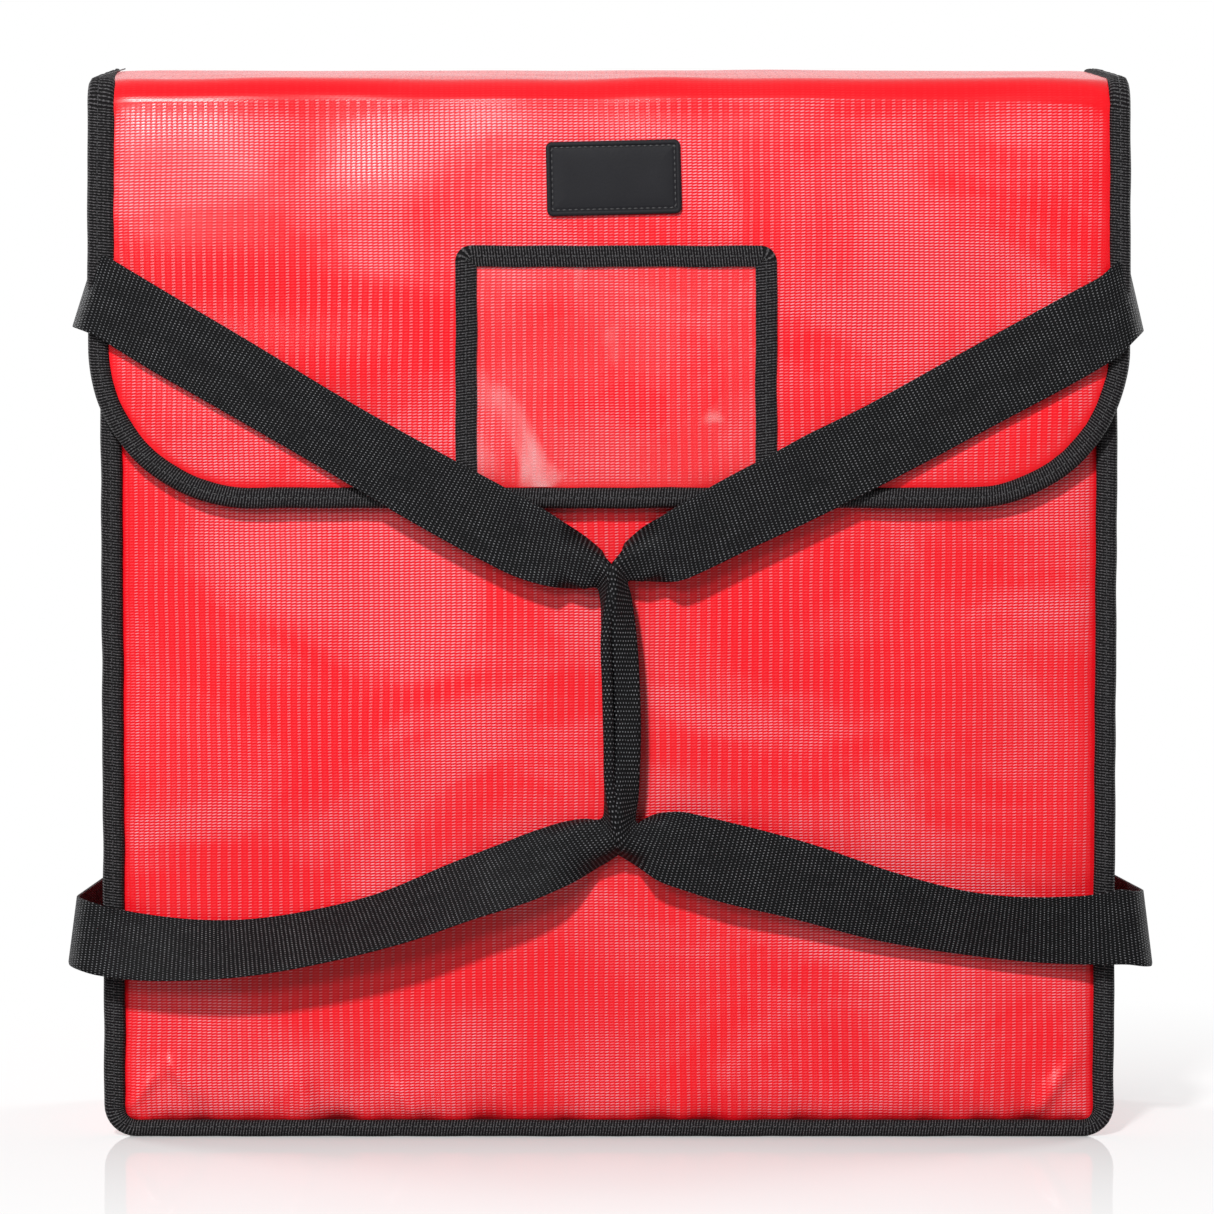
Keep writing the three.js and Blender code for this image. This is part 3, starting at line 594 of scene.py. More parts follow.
def wall_piece(side, half, low, top, face, fullness, corner, seed):
    """One padded wall: vinyl outside, lining inside. Its edges tuck under the bindings."""
    columns, rows = (210, 190) if side in ("front", "back") else (50, 130)
    across = spaced(-1, 1, columns, 0.8)[None, :]
    up = spaced(0, 1, rows, 0.8)[:, None]
    tops = top(across * half)
    b = low + (tops - low) * up
    dip = np.clip(corner - (b - low), 0, corner)
    width = half - corner + np.sqrt(corner ** 2 - dip ** 2)
    a = across * width
    b = np.broadcast_to(b, a.shape).copy()
    from_side = width - np.abs(a)
    from_low = b - low
    rise = crown(a, b, half + TAPE, FRONT_TOP, fullness)
    if side in ("front", "back"):
        overhang = np.clip(from_low + 2.4 * ripple(a, seed + 5, (23, 37, 59, 83)), 0, None)
        dip = np.minimum(tucked(overhang, a, seed, *FOOT_TUCK),
                         tucked(from_side, b, seed + 1, *EDGE_TUCK))
        rise = rise + dip + foot_folds(a, from_low, seed + 6) + foot_creases(a, b)
    else:
        rise = rise + tucked(from_low, a, seed, *SIDE_FOOT_TUCK)
        rise = rise + tucked(from_side, b, seed + 1, *SIDE_EDGE_TUCK)
        under = np.clip(FOOT_ROUND - b, 0, FOOT_ROUND)
        rise = rise + np.sqrt(FOOT_ROUND ** 2 - under ** 2) - FOOT_ROUND
    edge = np.minimum(from_low, from_side)
    dent = dents(a, b, seed + 2, WALL_DENT_SIZES)
    rise = rise + WALL_DENT_DEPTH * ease(edge / 25) * dent
    outer = SIDES[side](a, b, face + rise)
    quilt = 0.5 * ripple(a, seed + 3, (60, 95)) + 0.5 * ripple(b, seed + 4, (70, 110))
    inner = SIDES[side](a, b, face - WALL + 0.4 + 0.4 * quilt + 0.27 * (rise - rise.mean()))
    wall = shell(f"{side}_wall", outer, inner, np.stack([a, b], -1), [VINYL, LINING],
                 edge=edge)
    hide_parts(f"{side}_skin", f"{side}_foam", f"{side}_lining")
    padded_on(wall, "bag")


def padded_on(piece, body):
    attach(piece, body)


def side_top(sign):
    """Top edge of a side wall, which falls towards the front."""
    def top(a):
        return SIDE_TOP - SLOPE * (HALF_DEPTH - WALL + sign * a)
    return top


def make_walls():
    wall_piece("front", PANEL_REACH, PANEL_LOW, lambda a: np.full_like(a, FRONT_TOP),
               HALF_DEPTH, CROWN, PANEL_CORNER, 11)
    wall_piece("back", PANEL_REACH, PANEL_LOW, lambda a: np.full_like(a, BACK_TOP),
               HALF_DEPTH, CROWN, PANEL_CORNER, 21)
    wall_piece("left", SIDE_WALL_REACH, SIDE_LOW, side_top(1), PANEL_HALF, SIDE_CROWN,
               SIDE_CORNER, 31)
    wall_piece("right", SIDE_WALL_REACH, SIDE_LOW, side_top(-1), PANEL_HALF, SIDE_CROWN,
               SIDE_CORNER, 41)
    x = spaced(-BOTTOM_HALF_WIDTH, BOTTOM_HALF_WIDTH, 120, 0.6)[None, :]
    y = spaced(-BOTTOM_HALF_DEPTH, BOTTOM_HALF_DEPTH, 40, 0.6)[:, None]
    x, y = np.broadcast_arrays(x, y)
    outer = np.stack([x, y, 0.25 + 0.25 * ripple(x + y, 51, (40, 70, 110))], -1)
    inner = np.stack([x, y, WALL - 0.3 + 0.3 * ripple(x - y, 52, (40, 70, 110))], -1)
    base = shell("bottom_wall", outer, inner, np.stack([x, y], -1), [VINYL, LINING],
                 edge=np.minimum(PANEL_HALF - np.abs(x), BOTTOM_HALF_DEPTH - np.abs(y)))
    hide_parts("bottom_skin", "bottom_foam", "bottom_lining")
    padded_on(base, "bag")


# Bindings. Their stitches lie in the groove, a little below the tape's face.

SEAM_PROUD = 1.0
GROOVE = 0.25
STITCH_SINK = 0.05
FOOT_NARROWING = 0.22


def band_section(width, thickness):
    """Section of folded tape: a low dome with a stitched groove, rounded edges, a flat back."""
    across = np.linspace(-1, 1, 11)
    dome = thickness * (1 - 0.12 * across ** 2 - 0.35 * np.abs(across) ** 8)
    dome -= GROOVE * np.exp(-(across / 0.13) ** 2)
    front = np.stack([across * width / 2, dome], -1)
    flat = np.full_like(across, 0.1 * thickness)
    back = np.stack([across[::-1] * width / 2 * 0.98, flat], -1)
    return np.concatenate([front, back])


def along_path(path):
    steps = np.linalg.norm(np.diff(path, axis=0), axis=1)
    return np.concatenate([[0], np.cumsum(steps)])


def resample(path, pitch):
    length = along_path(path)
    count = max(3, int(round(length[-1] / pitch)) + 1)
    want = np.linspace(0, length[-1], count)
    return np.stack([np.interp(want, length, path[:, k]) for k in range(path.shape[1])], -1)


def band(name, path, outward, lift, width, thickness, seed, wobble=0.25, kept=None):
    """Tape along a path of points at its back face. Outward points off its outer edge, and lift
    off its front face, both for each point of the path. Kept is the share of its width that the
    tape has at each point, from the outer edge in."""
    length = along_path(path)
    section = band_section(width, thickness)
    kept = np.ones(len(path)) if kept is None else kept
    reach = width / 2 - (width / 2 - section[None, :, :1]) * kept[:, None, None]
    drift = wobble * ripple(length, seed, (31, 47, 83))
    swell = 1 + 0.06 * ripple(length, seed + 1, (9, 17, 29))
    rings = (path[:, None, :] + outward[:, None, :] * (reach + drift[:, None, None])
             + lift[:, None, :] * section[None, :, 1:] * swell[:, None, None])
    girth = along_path(section)
    places = np.stack(np.broadcast_arrays(length[:, None], girth[None, :]), -1)
    return loft(name, rings, places, [BINDING])


def rounded_u(half, low, top, radius, pitch=2.5):
    """Points and outward normals of a U: down the left side, along the bottom, up the right."""
    pieces = []

    def run(x0, z0, x1, z1, nx, nz):
        count = max(2, int(math.hypot(x1 - x0, z1 - z0) / pitch))
        t = np.linspace(0, 1, count, endpoint=False)
        pieces.append(np.stack([x0 + (x1 - x0) * t, z0 + (z1 - z0) * t,
                                np.full(count, nx), np.full(count, nz)], -1))

    def turn(cx, cz, start):
        count = max(8, int(radius * math.pi / 2 / pitch))
        angle = np.radians(start + 90 * np.linspace(0, 1, count, endpoint=False))
        pieces.append(np.stack([cx + radius * np.cos(angle), cz + radius * np.sin(angle),
                                np.cos(angle), np.sin(angle)], -1))

    near, high = half - radius, low + radius
    run(-half, top, -half, high, -1, 0)
    turn(-near, high, 180)
    run(-near, low, near, low, 0, -1)
    turn(near, high, 270)
    run(half, high, half, top, 1, 0)
    pieces.append(np.array([[half, top, 1, 0]]))
    return np.concatenate(pieces)


def seam_binding(side, top, seed):
    u = rounded_u(BODY_HALF - TAPE / 2, TAPE / 2, top, CORNER - TAPE / 2)
    face = HALF_DEPTH - TAPE_THICK
    path = SIDES[side](u[:, 0], u[:, 1], np.full(len(u), face))
    outward = SIDES[side](u[:, 2], u[:, 3], np.zeros(len(u)))
    lift = np.broadcast_to(SIDES[side](0.0, 0.0, 1.0), path.shape)
    piece = band(f"{side}_binding", path, outward, lift, TAPE, TAPE_THICK + SEAM_PROUD, seed,
                 kept=1 - FOOT_NARROWING * u[:, 3] ** 2)
    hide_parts(f"{side}_seam_tape")
    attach(piece, "bag")
    return path + lift * (TAPE_THICK + SEAM_PROUD - STITCH_SINK), lift


# The cover: lid, shoulder and flap in one padded sheet

ARC = math.pi / 2 - SLOPE_ANGLE
ARC_LENGTH = SHOULDER * ARC
LID_RUN = (HALF_DEPTH - (SHOULDER_Y - SHOULDER * math.sin(SLOPE_ANGLE))) / math.cos(SLOPE_ANGLE)
FLAP_RUN = FOLD_HEIGHT - FLAP_BOTTOM
COVER_RUN = FLAP_RUN + ARC_LENGTH + LID_RUN

# How far the cover sinks back at the shoulder, and over what length of the flap and of the lid
FALL_BACK = 5.5
FALL_REACH = 85.0
FALL_REACH_LID = 60.0

# How far the padded sheet runs on under its binding, and how much its left edge draws in at the
# rear, with the distance from the middle where that starts
COVER_UNDER = 2.5
REAR_DRAW = 7.5
REAR_DRAW_FROM = 150.0

# The cover's tape: how far it stands proud, how deep its back lies, how much wider it is beside
# the flap on the left than along its bottom, and how much of its width it loses by the rear
COVER_TAPE_PROUD = 0.5
COVER_TAPE_DEPTH = COVER_WALL - 0.4
LEFT_WIDER = 0.32
LEFT_LOST = 1.04
LEFT_WIDER_BELOW_FOLD = 108.0


def cover_point(x, s, depth):
    """A point of the cover: x across, s up from the flap's bottom edge along its outer face and
    on over the lid, and depth in from that face."""
    z_flap = FLAP_BOTTOM + s
    flap = np.stack([x, -(COVER_FACE + front_crown(x, z_flap)) + depth, z_flap], -1)
    angle = math.pi - share((s - FLAP_RUN) / ARC_LENGTH) * ARC
    radius = SHOULDER - depth
    swell = front_crown(x, FOLD_HEIGHT + 0 * s) * (1 - share((s - FLAP_RUN) / ARC_LENGTH))
    turn = np.stack([x + 0 * s, SHOULDER_Y + (radius + swell) * np.cos(angle),
                     SHOULDER_Z + (radius + swell) * np.sin(angle)], -1)
    run = s - FLAP_RUN - ARC_LENGTH
    y0 = SHOULDER_Y - SHOULDER * math.sin(SLOPE_ANGLE)
    z0 = SHOULDER_Z + SHOULDER * math.cos(SLOPE_ANGLE)
    lid = np.stack([x + 0 * s, y0 + run * math.cos(SLOPE_ANGLE) + depth * math.sin(SLOPE_ANGLE),
                    z0 + run * math.sin(SLOPE_ANGLE) - depth * math.cos(SLOPE_ANGLE)], -1)
    on_flap = (s < FLAP_RUN)[..., None]
    on_lid = (run > 0)[..., None]
    settle = FALL_BACK * share(1 - (FLAP_RUN - s) / FALL_REACH) ** 3
    settle = settle * ease(1 - run / FALL_REACH_LID)
    back = np.array([0, math.cos(SLOPE_ANGLE), math.sin(SLOPE_ANGLE)])
    return np.where(on_flap, flap, np.where(on_lid, lid, turn)) + settle[..., None] * back


def rear_share(s):
    """0 up to the shoulder, 1 at the lid's rear edge."""
    return share((s - FLAP_RUN - ARC_LENGTH * 0.6) / LID_RUN)


def make_cover():
    half, low = COVER_PANEL_HALF + COVER_UNDER, TAPE - COVER_UNDER
    corner = FLAP_CORNER - low
    across = spaced(-1, 1, 190, 0.7)[None, :]
    rise = np.linspace(0, 1, 150)[:, None]
    s = low + (COVER_RUN - low) * (0.55 * rise + 0.45 * rise ** 2)
    dip = np.clip(corner - (s - low), 0, corner)
    width = half - corner + np.sqrt(corner ** 2 - dip ** 2)
    x = across * width
    s = np.broadcast_to(s, x.shape).copy()
    inward = np.clip(corner - np.hypot(np.clip(np.abs(x) - (half - corner), 0, None),
                                       np.clip(corner + low - s, 0, None)), 0, None)
    on_corner = (np.abs(x) > half - corner) & (s < low + corner)
    edge = np.where(on_corner, inward, np.minimum(half - np.abs(x), s - low))
    rear = rear_share(s)
    proud = tucked(edge, x + s, 61, *COVER_TUCK) * (1 - 0.75 * ease(rear * 6))
    x = x - np.where(x < 0, REAR_DRAW * rear * ease((-x - REAR_DRAW_FROM) / 100), 0)
    dent = COVER_DENT_DEPTH * dents(x, s, 62, COVER_DENT_SIZES)
    proud = proud + dent * ease(edge / 30) * (1 - 0.6 * rear)
    outer = cover_point(x, s, -proud)
    under = COVER_WALL - 0.3 + 0.2 * ripple(x - s, 63, (60, 95, 150))
    inner = cover_point(x, s, under)
    smooth = ease((s - FLAP_RUN + 4) / 9) * ease((FLAP_RUN + ARC_LENGTH + 1 - s) / 3)
    below_fold = FLAP_RUN - s
    # Painted highlight: the vinyl just below the fold is marked for painted sheen, fading down the
    # flap and towards the right, where the glare of the light from the left would fall
    painted_sheen = np.exp(-np.clip(below_fold - 4, 0, None) / 30) * ease((below_fold + 2) / 13)
    painted_sheen = painted_sheen * (1 - 0.6 * share((x + 150) / 350))
    piece = shell("cover_panel", outer, inner, np.stack([x, s], -1), [VINYL, LINING],
                  edge=edge * (1 - smooth), painted_sheen=painted_sheen)
    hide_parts("lid_skin", "lid_foam", "lid_lining", "flap_skin", "flap_foam",
                "flap_lining")
    hinge_blend(piece)


def hinge_blend(piece):
    """Pieces that run over the shoulder: their placing is baked into their meshes."""
    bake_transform(piece)


def along_cover(route, depth):
    """A path over the cover at that depth, with the directions off its face and off its edge.
    Each row of the route is a place and the outward direction there, both across and up."""
    x, s = route[:, 0], route[:, 1]
    path = cover_point(x, s, depth)
    lift = unit(cover_point(x, s, depth - 1.0) - path)
    outward = unit(cover_point(x + route[:, 2], s + route[:, 3], depth) - path)
    return path, lift, outward


def make_cover_binding():
    """Tape round the flap and on along both side edges of the lid."""
    u = rounded_u(COVER_HALF - TAPE / 2, TAPE / 2, FLAP_RUN, FLAP_CORNER - TAPE / 2)
    s_up = np.arange(FLAP_RUN + 2, COVER_RUN, 2.0)
    right = np.stack([np.full(len(s_up), COVER_HALF - TAPE / 2), s_up, np.ones(len(s_up)),
                      np.zeros(len(s_up))], -1)
    left = right[::-1] * np.array([-1, 1, -1, 1])
    route = np.concatenate([left, u, right])
    path, lift, outward = along_cover(route, COVER_TAPE_DEPTH)
    x, s = route[:, 0], route[:, 1]
    wide = 1 + LEFT_WIDER * ease((s - FLAP_RUN + LEFT_WIDER_BELOW_FOLD) / 30)
    kept = np.where(x < 0, wide - LEFT_LOST * rear_share(s), 1)
    piece = band("cover_binding", path, outward, lift, TAPE, COVER_WALL + COVER_TAPE_PROUD, 71,
                 kept=kept)
    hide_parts("lid_left_tape", "lid_right_tape", "flap_tape")
    hinge_blend(piece)
    return path + lift * (COVER_WALL + COVER_TAPE_PROUD - STITCH_SINK), lift


# The hinge strip's outer face from below to above, back from the middle and up
HINGE_PROFILE = [(64.1, 514.0), (64.6, 519.0), (64.9, 526.0), (65.2, 532.5), (64.9, 537.0),
                 (64.3, 540.0)]
HINGE_HALF = 251.0
HINGE_THICK = 1.1
HINGE_PROUD = 0.2
HINGE_STITCH_LIFT = 0.15


def make_hinge_strip():
    """Vinyl strip sewn to the top of the back wall and over the lid's rear edge: the hinge."""
    profile = resample(np.array(HINGE_PROFILE), 1.2)
    across = spaced(-1, 1, 150, 0.4)[None, :] * HINGE_HALF
    x, y = np.broadcast_arrays(across, profile[:, :1])
    z = np.broadcast_to(profile[:, 1:], x.shape)
    ahead = unit(np.gradient(profile, axis=0))
    out = np.stack([0 * x, np.broadcast_to(ahead[:, 1:], x.shape),
                    np.broadcast_to(-ahead[:, :1], x.shape)], -1)
    run = np.broadcast_to(along_path(profile)[:, None], x.shape)
    edge = np.minimum(HINGE_HALF - np.abs(x), np.minimum(run, run.max() - run))
    proud = 0.35 * ripple(x, 85, (33, 52, 90)) * np.exp(-((run - 18) / 9) ** 2)
    outer = np.stack([x, y, z], -1) + out * (proud + HINGE_PROUD)[..., None]
    strip = shell("hinge_strip", outer, outer - out * HINGE_THICK, np.stack([x, run], -1),
                  [VINYL], edge=edge + 4)
    lines = []
    for k in (4, len(profile) - 4):
        facing = out[k, 3:-3]
        lines.append((outer[k, 3:-3] + facing * HINGE_STITCH_LIFT, facing))
    seam = sew("hinge_stitches", lines)
    for piece in (strip, seam):
        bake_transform(piece)


# The mouth's tape: its top at the rear edge, its bent corners, its thickness and how deep it sits
MOUTH_TOP = 531.2
MOUTH_CORNER = 6.0
MOUTH_THICK = 2.6
MOUTH_DEPTH = 2.2


def make_mouth_binding():
    """Tape over the tops of the side and front walls, under the lid."""
    x0 = PANEL_HALF - WALL / 2
    rear, front = HALF_DEPTH - WALL - 0.5, WALL / 2 - HALF_DEPTH
    corners = [(-x0, rear), (-x0, front + MOUTH_CORNER), (-x0 + MOUTH_CORNER, front),
               (x0 - MOUTH_CORNER, front), (x0, front + MOUTH_CORNER), (x0, rear)]
    path = resample(np.array(corners, float), 3.0)
    ahead = unit(np.gradient(path, axis=0))
    z = lid_height(path[:, 1]) - (REAR_HEIGHT - MOUTH_TOP)
    points = np.stack([path[:, 0], path[:, 1], z], -1)
    outward = np.stack([ahead[:, 1], -ahead[:, 0], 0 * z], -1)
    lift = np.broadcast_to(np.array([0, 0, 1.0]), points.shape)
    piece = band("mouth_binding", points - lift * MOUTH_DEPTH, outward, lift, WALL, MOUTH_THICK,
                 81, 0.1)
    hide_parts("mouth_tape")
    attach(piece, "bag")


# Stitches

class Pattern(Finish):
    """A tree of geometry nodes, which repeats one shape along lines."""

    def __init__(self, name):
        self.tree = bpy.data.node_groups.new(name, "GeometryNodeTree")

    def socket(self, name, kind, value=None, out=False):
        socket = self.tree.interface.new_socket(
            name, in_out="OUTPUT" if out else "INPUT", socket_type=f"NodeSocket{kind}")
        if value is not None:
            socket.default_value = value


def stitch_pattern():
    """Stitches of a given length and girth, a given pitch apart along each line of sewing."""
    pattern = Pattern("stitches")
    pattern.socket("Lines", "Geometry")
    for name in ("Pitch", "Length", "Width", "Height"):
        pattern.socket(name, "Float", MM)
    pattern.socket("Stitches", "Geometry", out=True)
    given = pattern.add("NodeGroupInput").outputs
    lines = pattern.add("GeometryNodeMeshToCurve", None, {"Mesh": given["Lines"]})
    spaced_out = pattern.add("GeometryNodeResampleCurve", {"mode": "LENGTH"}, {
        "Curve": lines.outputs[0], "Length": given["Pitch"]})
    thread = pattern.add("GeometryNodeMeshUVSphere", None, {
        "Segments": 6, "Rings": 4, "Radius": 0.5})
    facing = pattern.add("GeometryNodeInputNamedAttribute", {"data_type": "FLOAT_VECTOR"},
                         {"Name": "facing"})
    ahead = pattern.add("FunctionNodeAlignRotationToVector", {"axis": "X"}, {
        "Vector": pattern.add("GeometryNodeInputTangent").outputs[0]})
    turned = pattern.add("FunctionNodeAlignRotationToVector",
                         {"axis": "Z", "pivot_axis": "X"}, {
                             "Rotation": ahead.outputs[0], "Vector": facing.outputs[0]})
    size = pattern.point(given["Length"], given["Width"], given["Height"])
    placed = pattern.add("GeometryNodeInstanceOnPoints", None, {
        "Points": spaced_out.outputs[0], "Instance": thread.outputs[0],
        "Rotation": turned.outputs[0], "Scale": size})
    whole = pattern.add("GeometryNodeRealizeInstances", None, {0: placed.outputs[0]})
    dyed = pattern.add("GeometryNodeSetMaterial", None, {
        "Geometry": whole.outputs[0], "Material": THREAD})
    pattern.add("NodeGroupOutput", None, {0: dyed.outputs[0]})
    return pattern.tree


STITCHES = stitch_pattern()


def sew(name, lines, pitch=3.4, length=2.7, width=0.75, height=0.7):
    """One plain mesh of all stitches along lines, each a pair of places and facings."""
    places = np.concatenate([line for line, _ in lines])
    facings = np.concatenate([np.broadcast_to(np.asarray(face, float), line.shape)
                              for line, face in lines])
    edges, start = [], 0
    for line, _ in lines:
        edges += [(start + k, start + k + 1) for k in range(len(line) - 1)]
        start += len(line)
    mesh = bpy.data.meshes.new(f"{name}_lines")
    mesh.from_pydata((places * MM).tolist(), edges, [])
    facing = mesh.attributes.new("facing", "FLOAT_VECTOR", "POINT")
    facing.data.foreach_set("vector", facings.ravel())
    guide = new_object(f"{name}_lines", mesh)
    modifier = guide.modifiers.new("stitches", "NODES")
    modifier.node_group = STITCHES
    sizes = {"Pitch": pitch, "Length": length, "Width": width, "Height": height}
    for item in STITCHES.interface.items_tree:
        if item.in_out == "INPUT" and item.name in sizes:
            modifier[item.identifier] = sizes[item.name] * MM
    graph = bpy.context.evaluated_depsgraph_get()
    result = bpy.data.meshes.new_from_object(guide.evaluated_get(graph))
    result.name = name
    guide.modifiers.remove(modifier)
    bpy.data.objects.remove(guide)
    piece = new_object(name, result)
    return piece


# Pocket, label, hook and loop. Lifts are how far a thing stands off the flap's vinyl.

POCKET_ACROSS = 3.5
POCKET_HALF = 159.0 / 2
POCKET_TOP = 130.0
POCKET_LOW = TAPE + 0.3
POCKET_CORNER = 2.6
POCKET_LIFT = 0.3
POCKET_TAPE_THICK = 1.8
WINDOW_LIFT = 0.6
WINDOW_THICK = 0.35
WINDOW_UNDER = 1.0

LABEL_DROP = 34.0
LABEL_WIDTH = 66.5
LABEL_HEIGHT = 36.5
LABEL_CORNER = 3.0
LABEL_ACROSS = 2.3
LABEL_TURN = math.radians(1.3)
LABEL_LIFT = 0.3
LABEL_STITCH_INSET = 2.9
LABEL_STITCH_LIFT = 1.6

# The label's section from its edge to its middle: how far in, and how high
LABEL_SECTION = [(0.0, 0.0), (0.0, 1.3), (0.25, 1.75), (0.7, 2.0), (1.8, 2.0), (2.2, 1.75),
                 (2.5, 1.3), (3.1, 1.2), (3.6, 1.45), (4.4, 1.55), (9.0, 1.55), (15.0, 1.5)]

STRIP_HALF = 180.0
STRIP_HEIGHT = 50.0
STRIP_RISE = 14.0
STRIP_LOW = FLAP_BOTTOM + TAPE + CLEARANCE + STRIP_RISE
STRIP_HIGH = STRIP_LOW + STRIP_HEIGHT
STRIP_THICK = HOOK_AND_LOOP_THICK - 0.1


def make_pocket():
    half = POCKET_HALF - TAPE / 2
    u = rounded_u(half, TAPE / 2 - POCKET_TOP, -POCKET_LOW, POCKET_CORNER)
    route = u * np.array([1, -1, 1, -1]) + np.array([POCKET_ACROSS, 0, 0, 0])
    path, lift, outward = along_cover(route, -POCKET_LIFT)
    piece = band("ticket_pocket_binding", path, outward, lift, TAPE, POCKET_TAPE_THICK, 91)
    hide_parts("ticket_pocket_tape")
    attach(piece, "flap")
    reach = half - TAPE / 2 + WINDOW_UNDER
    x = POCKET_ACROSS + np.linspace(-reach, reach, 60)[None, :]
    s = np.linspace(POCKET_LOW, POCKET_TOP - TAPE + WINDOW_UNDER, 50)[:, None]
    x, s = np.broadcast_arrays(x, s)
    lift_here = WINDOW_LIFT + 0.25 * ripple(x + 0.5 * s, 92, (35, 55, 80))
    window = shell("ticket_pocket_window", cover_point(x, s, -lift_here - WINDOW_THICK),
                   cover_point(x, s, -lift_here), np.stack([x, s], -1), [CLEAR])
    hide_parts("ticket_pocket_window")
    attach(window, "flap")
    return path + lift * (POCKET_TAPE_THICK - STITCH_SINK), lift


def rounded_outline(half_x, half_z, radius, steps=6):
    points = []
    for sx, sz, start in ((1, 1, 0), (-1, 1, 90), (-1, -1, 180), (1, -1, 270)):
        for i in range(steps + 1):
            angle = math.radians(start + 90 * i / steps)
            points.append((sx * (half_x - radius) + radius * math.cos(angle),
                           sz * (half_z - radius) + radius * math.sin(angle)))
    return np.array(points)


def round_label(inset, lift):
    """A line round the label, that far in from its edge, and the same line on the flat label."""
    radius = max(LABEL_CORNER - inset, 0.5)
    outline = rounded_outline(LABEL_WIDTH / 2 - inset, LABEL_HEIGHT / 2 - inset, radius)
    a, b = outline.T
    x = LABEL_ACROSS + a * math.cos(LABEL_TURN) - b * math.sin(LABEL_TURN)
    s = FLAP_RUN - LABEL_DROP + a * math.sin(LABEL_TURN) + b * math.cos(LABEL_TURN)
    return cover_point(x, s, -lift), outline


def make_label():
    """Blank moulded label with a raised rim and a stitched groove inside it."""
    rings, places = zip(*(round_label(inset, LABEL_LIFT + high) for inset, high in LABEL_SECTION))
    piece = loft("label", np.array(rings), np.array(places), [RUBBER], crease=35)
    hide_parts("label_patch")
    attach(piece, "flap")
    groove, _ = round_label(LABEL_STITCH_INSET, LABEL_STITCH_LIFT)
    return np.concatenate([groove, groove[:1]]), (0, -1, 0)


def make_hook_and_loop():
    x = np.linspace(-STRIP_HALF, STRIP_HALF, 120)[None, :]
    z = np.linspace(STRIP_LOW, STRIP_HIGH, 24)[:, None]
    x, z = np.broadcast_arrays(x, z)
    edge = np.minimum(STRIP_HALF - np.abs(x), np.minimum(z - STRIP_LOW, STRIP_HIGH - z))
    fluff = 0.15 * ripple(x * 3 + z, 95, (5, 7, 11)) - 0.4 * np.exp(-edge / 1.2)
    for kind, node, body, face in (("loop", "front_loop_strip", "bag", LOOP_FACE),
                                   ("hook", "flap_hook_strip", "flap", HOOK_FACE)):
        y = -(face + front_crown(x, z) + fluff)
        outer = np.stack([x, y, z], -1)
        strip = shell(f"{kind}_strip", outer, outer + np.array([0, STRIP_THICK, 0]),
                      np.stack([x, z], -1), [FUZZ])
        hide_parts(node)
        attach(strip, body)


# Webbing

WEB_WIDTH = 38.0
WEB_THICK = 1.6
STAND_OFF = 4.5

# How the webbing folds in three. It is flat where its edges are FLAT_FROM apart or more, and the
# fold alone makes it narrow where they are FOLDED_TO apart or less.
LAYER_GAP = 0.4
FACE_WIDTH = 9.3
INNER_THIRD = 9.0
INNER_FOLD = (WEB_THICK + LAYER_GAP) / 2
OUTER_FOLD = WEB_THICK + LAYER_GAP
OUTER_THIRD = WEB_WIDTH - FACE_WIDTH - INNER_THIRD - math.pi * (INNER_FOLD + OUTER_FOLD)
SOFT_BEND = 11.0
FLAT_FROM = 32.5
FOLDED_TO = 27.0

# The webbing along the sides, round the front corners and across the back
STRAP_HEIGHT = {"upper": 426.0, "lower": 105.0}
SIDE_REACH = 257.0
REAR_CORNER = 52.0
TURN_START = HALF_DEPTH - 1.5
TURN_REACH = 12.5
BACK_FACE = HALF_DEPTH + 1.9
BACK_CORNER = 7.0
BACK_REACH = 250.0
BACK_CROWN = 1.05
BACK_STITCH_FACE = HALF_DEPTH + 2.75
BOX_NEAR = 205.0
BOX_FAR = 236.0
BOX_HALF_HEIGHT = 15.5

# How far out and how high the edges of the lower left turn stand. The last key is true for the
# webbing's upper edge.
TURN_ENDS = {("lower", -1.0, False): (270.5, 87.5), ("lower", -1.0, True): (266.0, 121.5)}

# Both edges of each handle's webbing over the front, from its upper turn to its lower one. Their
# places were picked in the photograph: the outer edge across and down in pixels, the inner edge
# the same, and then how far either lies behind the flat webbing, in millimetres.
LEFT_EDGE_PIXELS = [
    (119, 264, 95, 336, 0, 0), (180, 300.5, 150, 370, 0, 0), (240, 336, 202, 399.5, 0, 0),
    (360, 408, 321, 468, 0, 0), (461, 464, 424, 529, 0, 0), (504, 487, 477, 558, 0, 0),
    (540, 507, 521, 579, -0.5, -0.5), (565, 523, 551, 587, -1.5, -1.5),
    (588, 541, 574, 590, -2.5, -1.5), (602, 557, 587, 590, -4, -0.5),
    (611, 570, 597, 588, -6, 3), (611, 584, 599.5, 596, -7, 5),
    (607, 601, 601.5, 606, -7, 6), (603, 625, 602.5, 627, -7, 6),
    (603.5, 690, 603.5, 690, -7, 6), (605, 748, 605, 748, -7, 6),
    (606, 788, 605.5, 788, -7, 6), (610, 810, 605, 806, -7, 6),
    (616, 832, 603, 816, -6.5, 4), (617.5, 849, 596, 819, -5, 0),
    (609, 860, 582, 818.5, -3.5, 0), (595, 869, 563, 821.5, -3, 0),
    (575, 881, 541, 828, -4, 1), (541, 897, 508, 841, -7.5, 3),
    (474, 919, 452, 863, -12, 7), (400, 944, 378, 894, -15, 9.5),
    (330, 961.5, 318, 909.5, -15, 9.5), (242, 977, 238, 920.5, -14, 9),
    (184, 981, 187, 919.5, -11, 7), (125, 980, 133, 912.5, -7, 5),
    (93, 975.5, 103, 906.5, -3, 2),
]
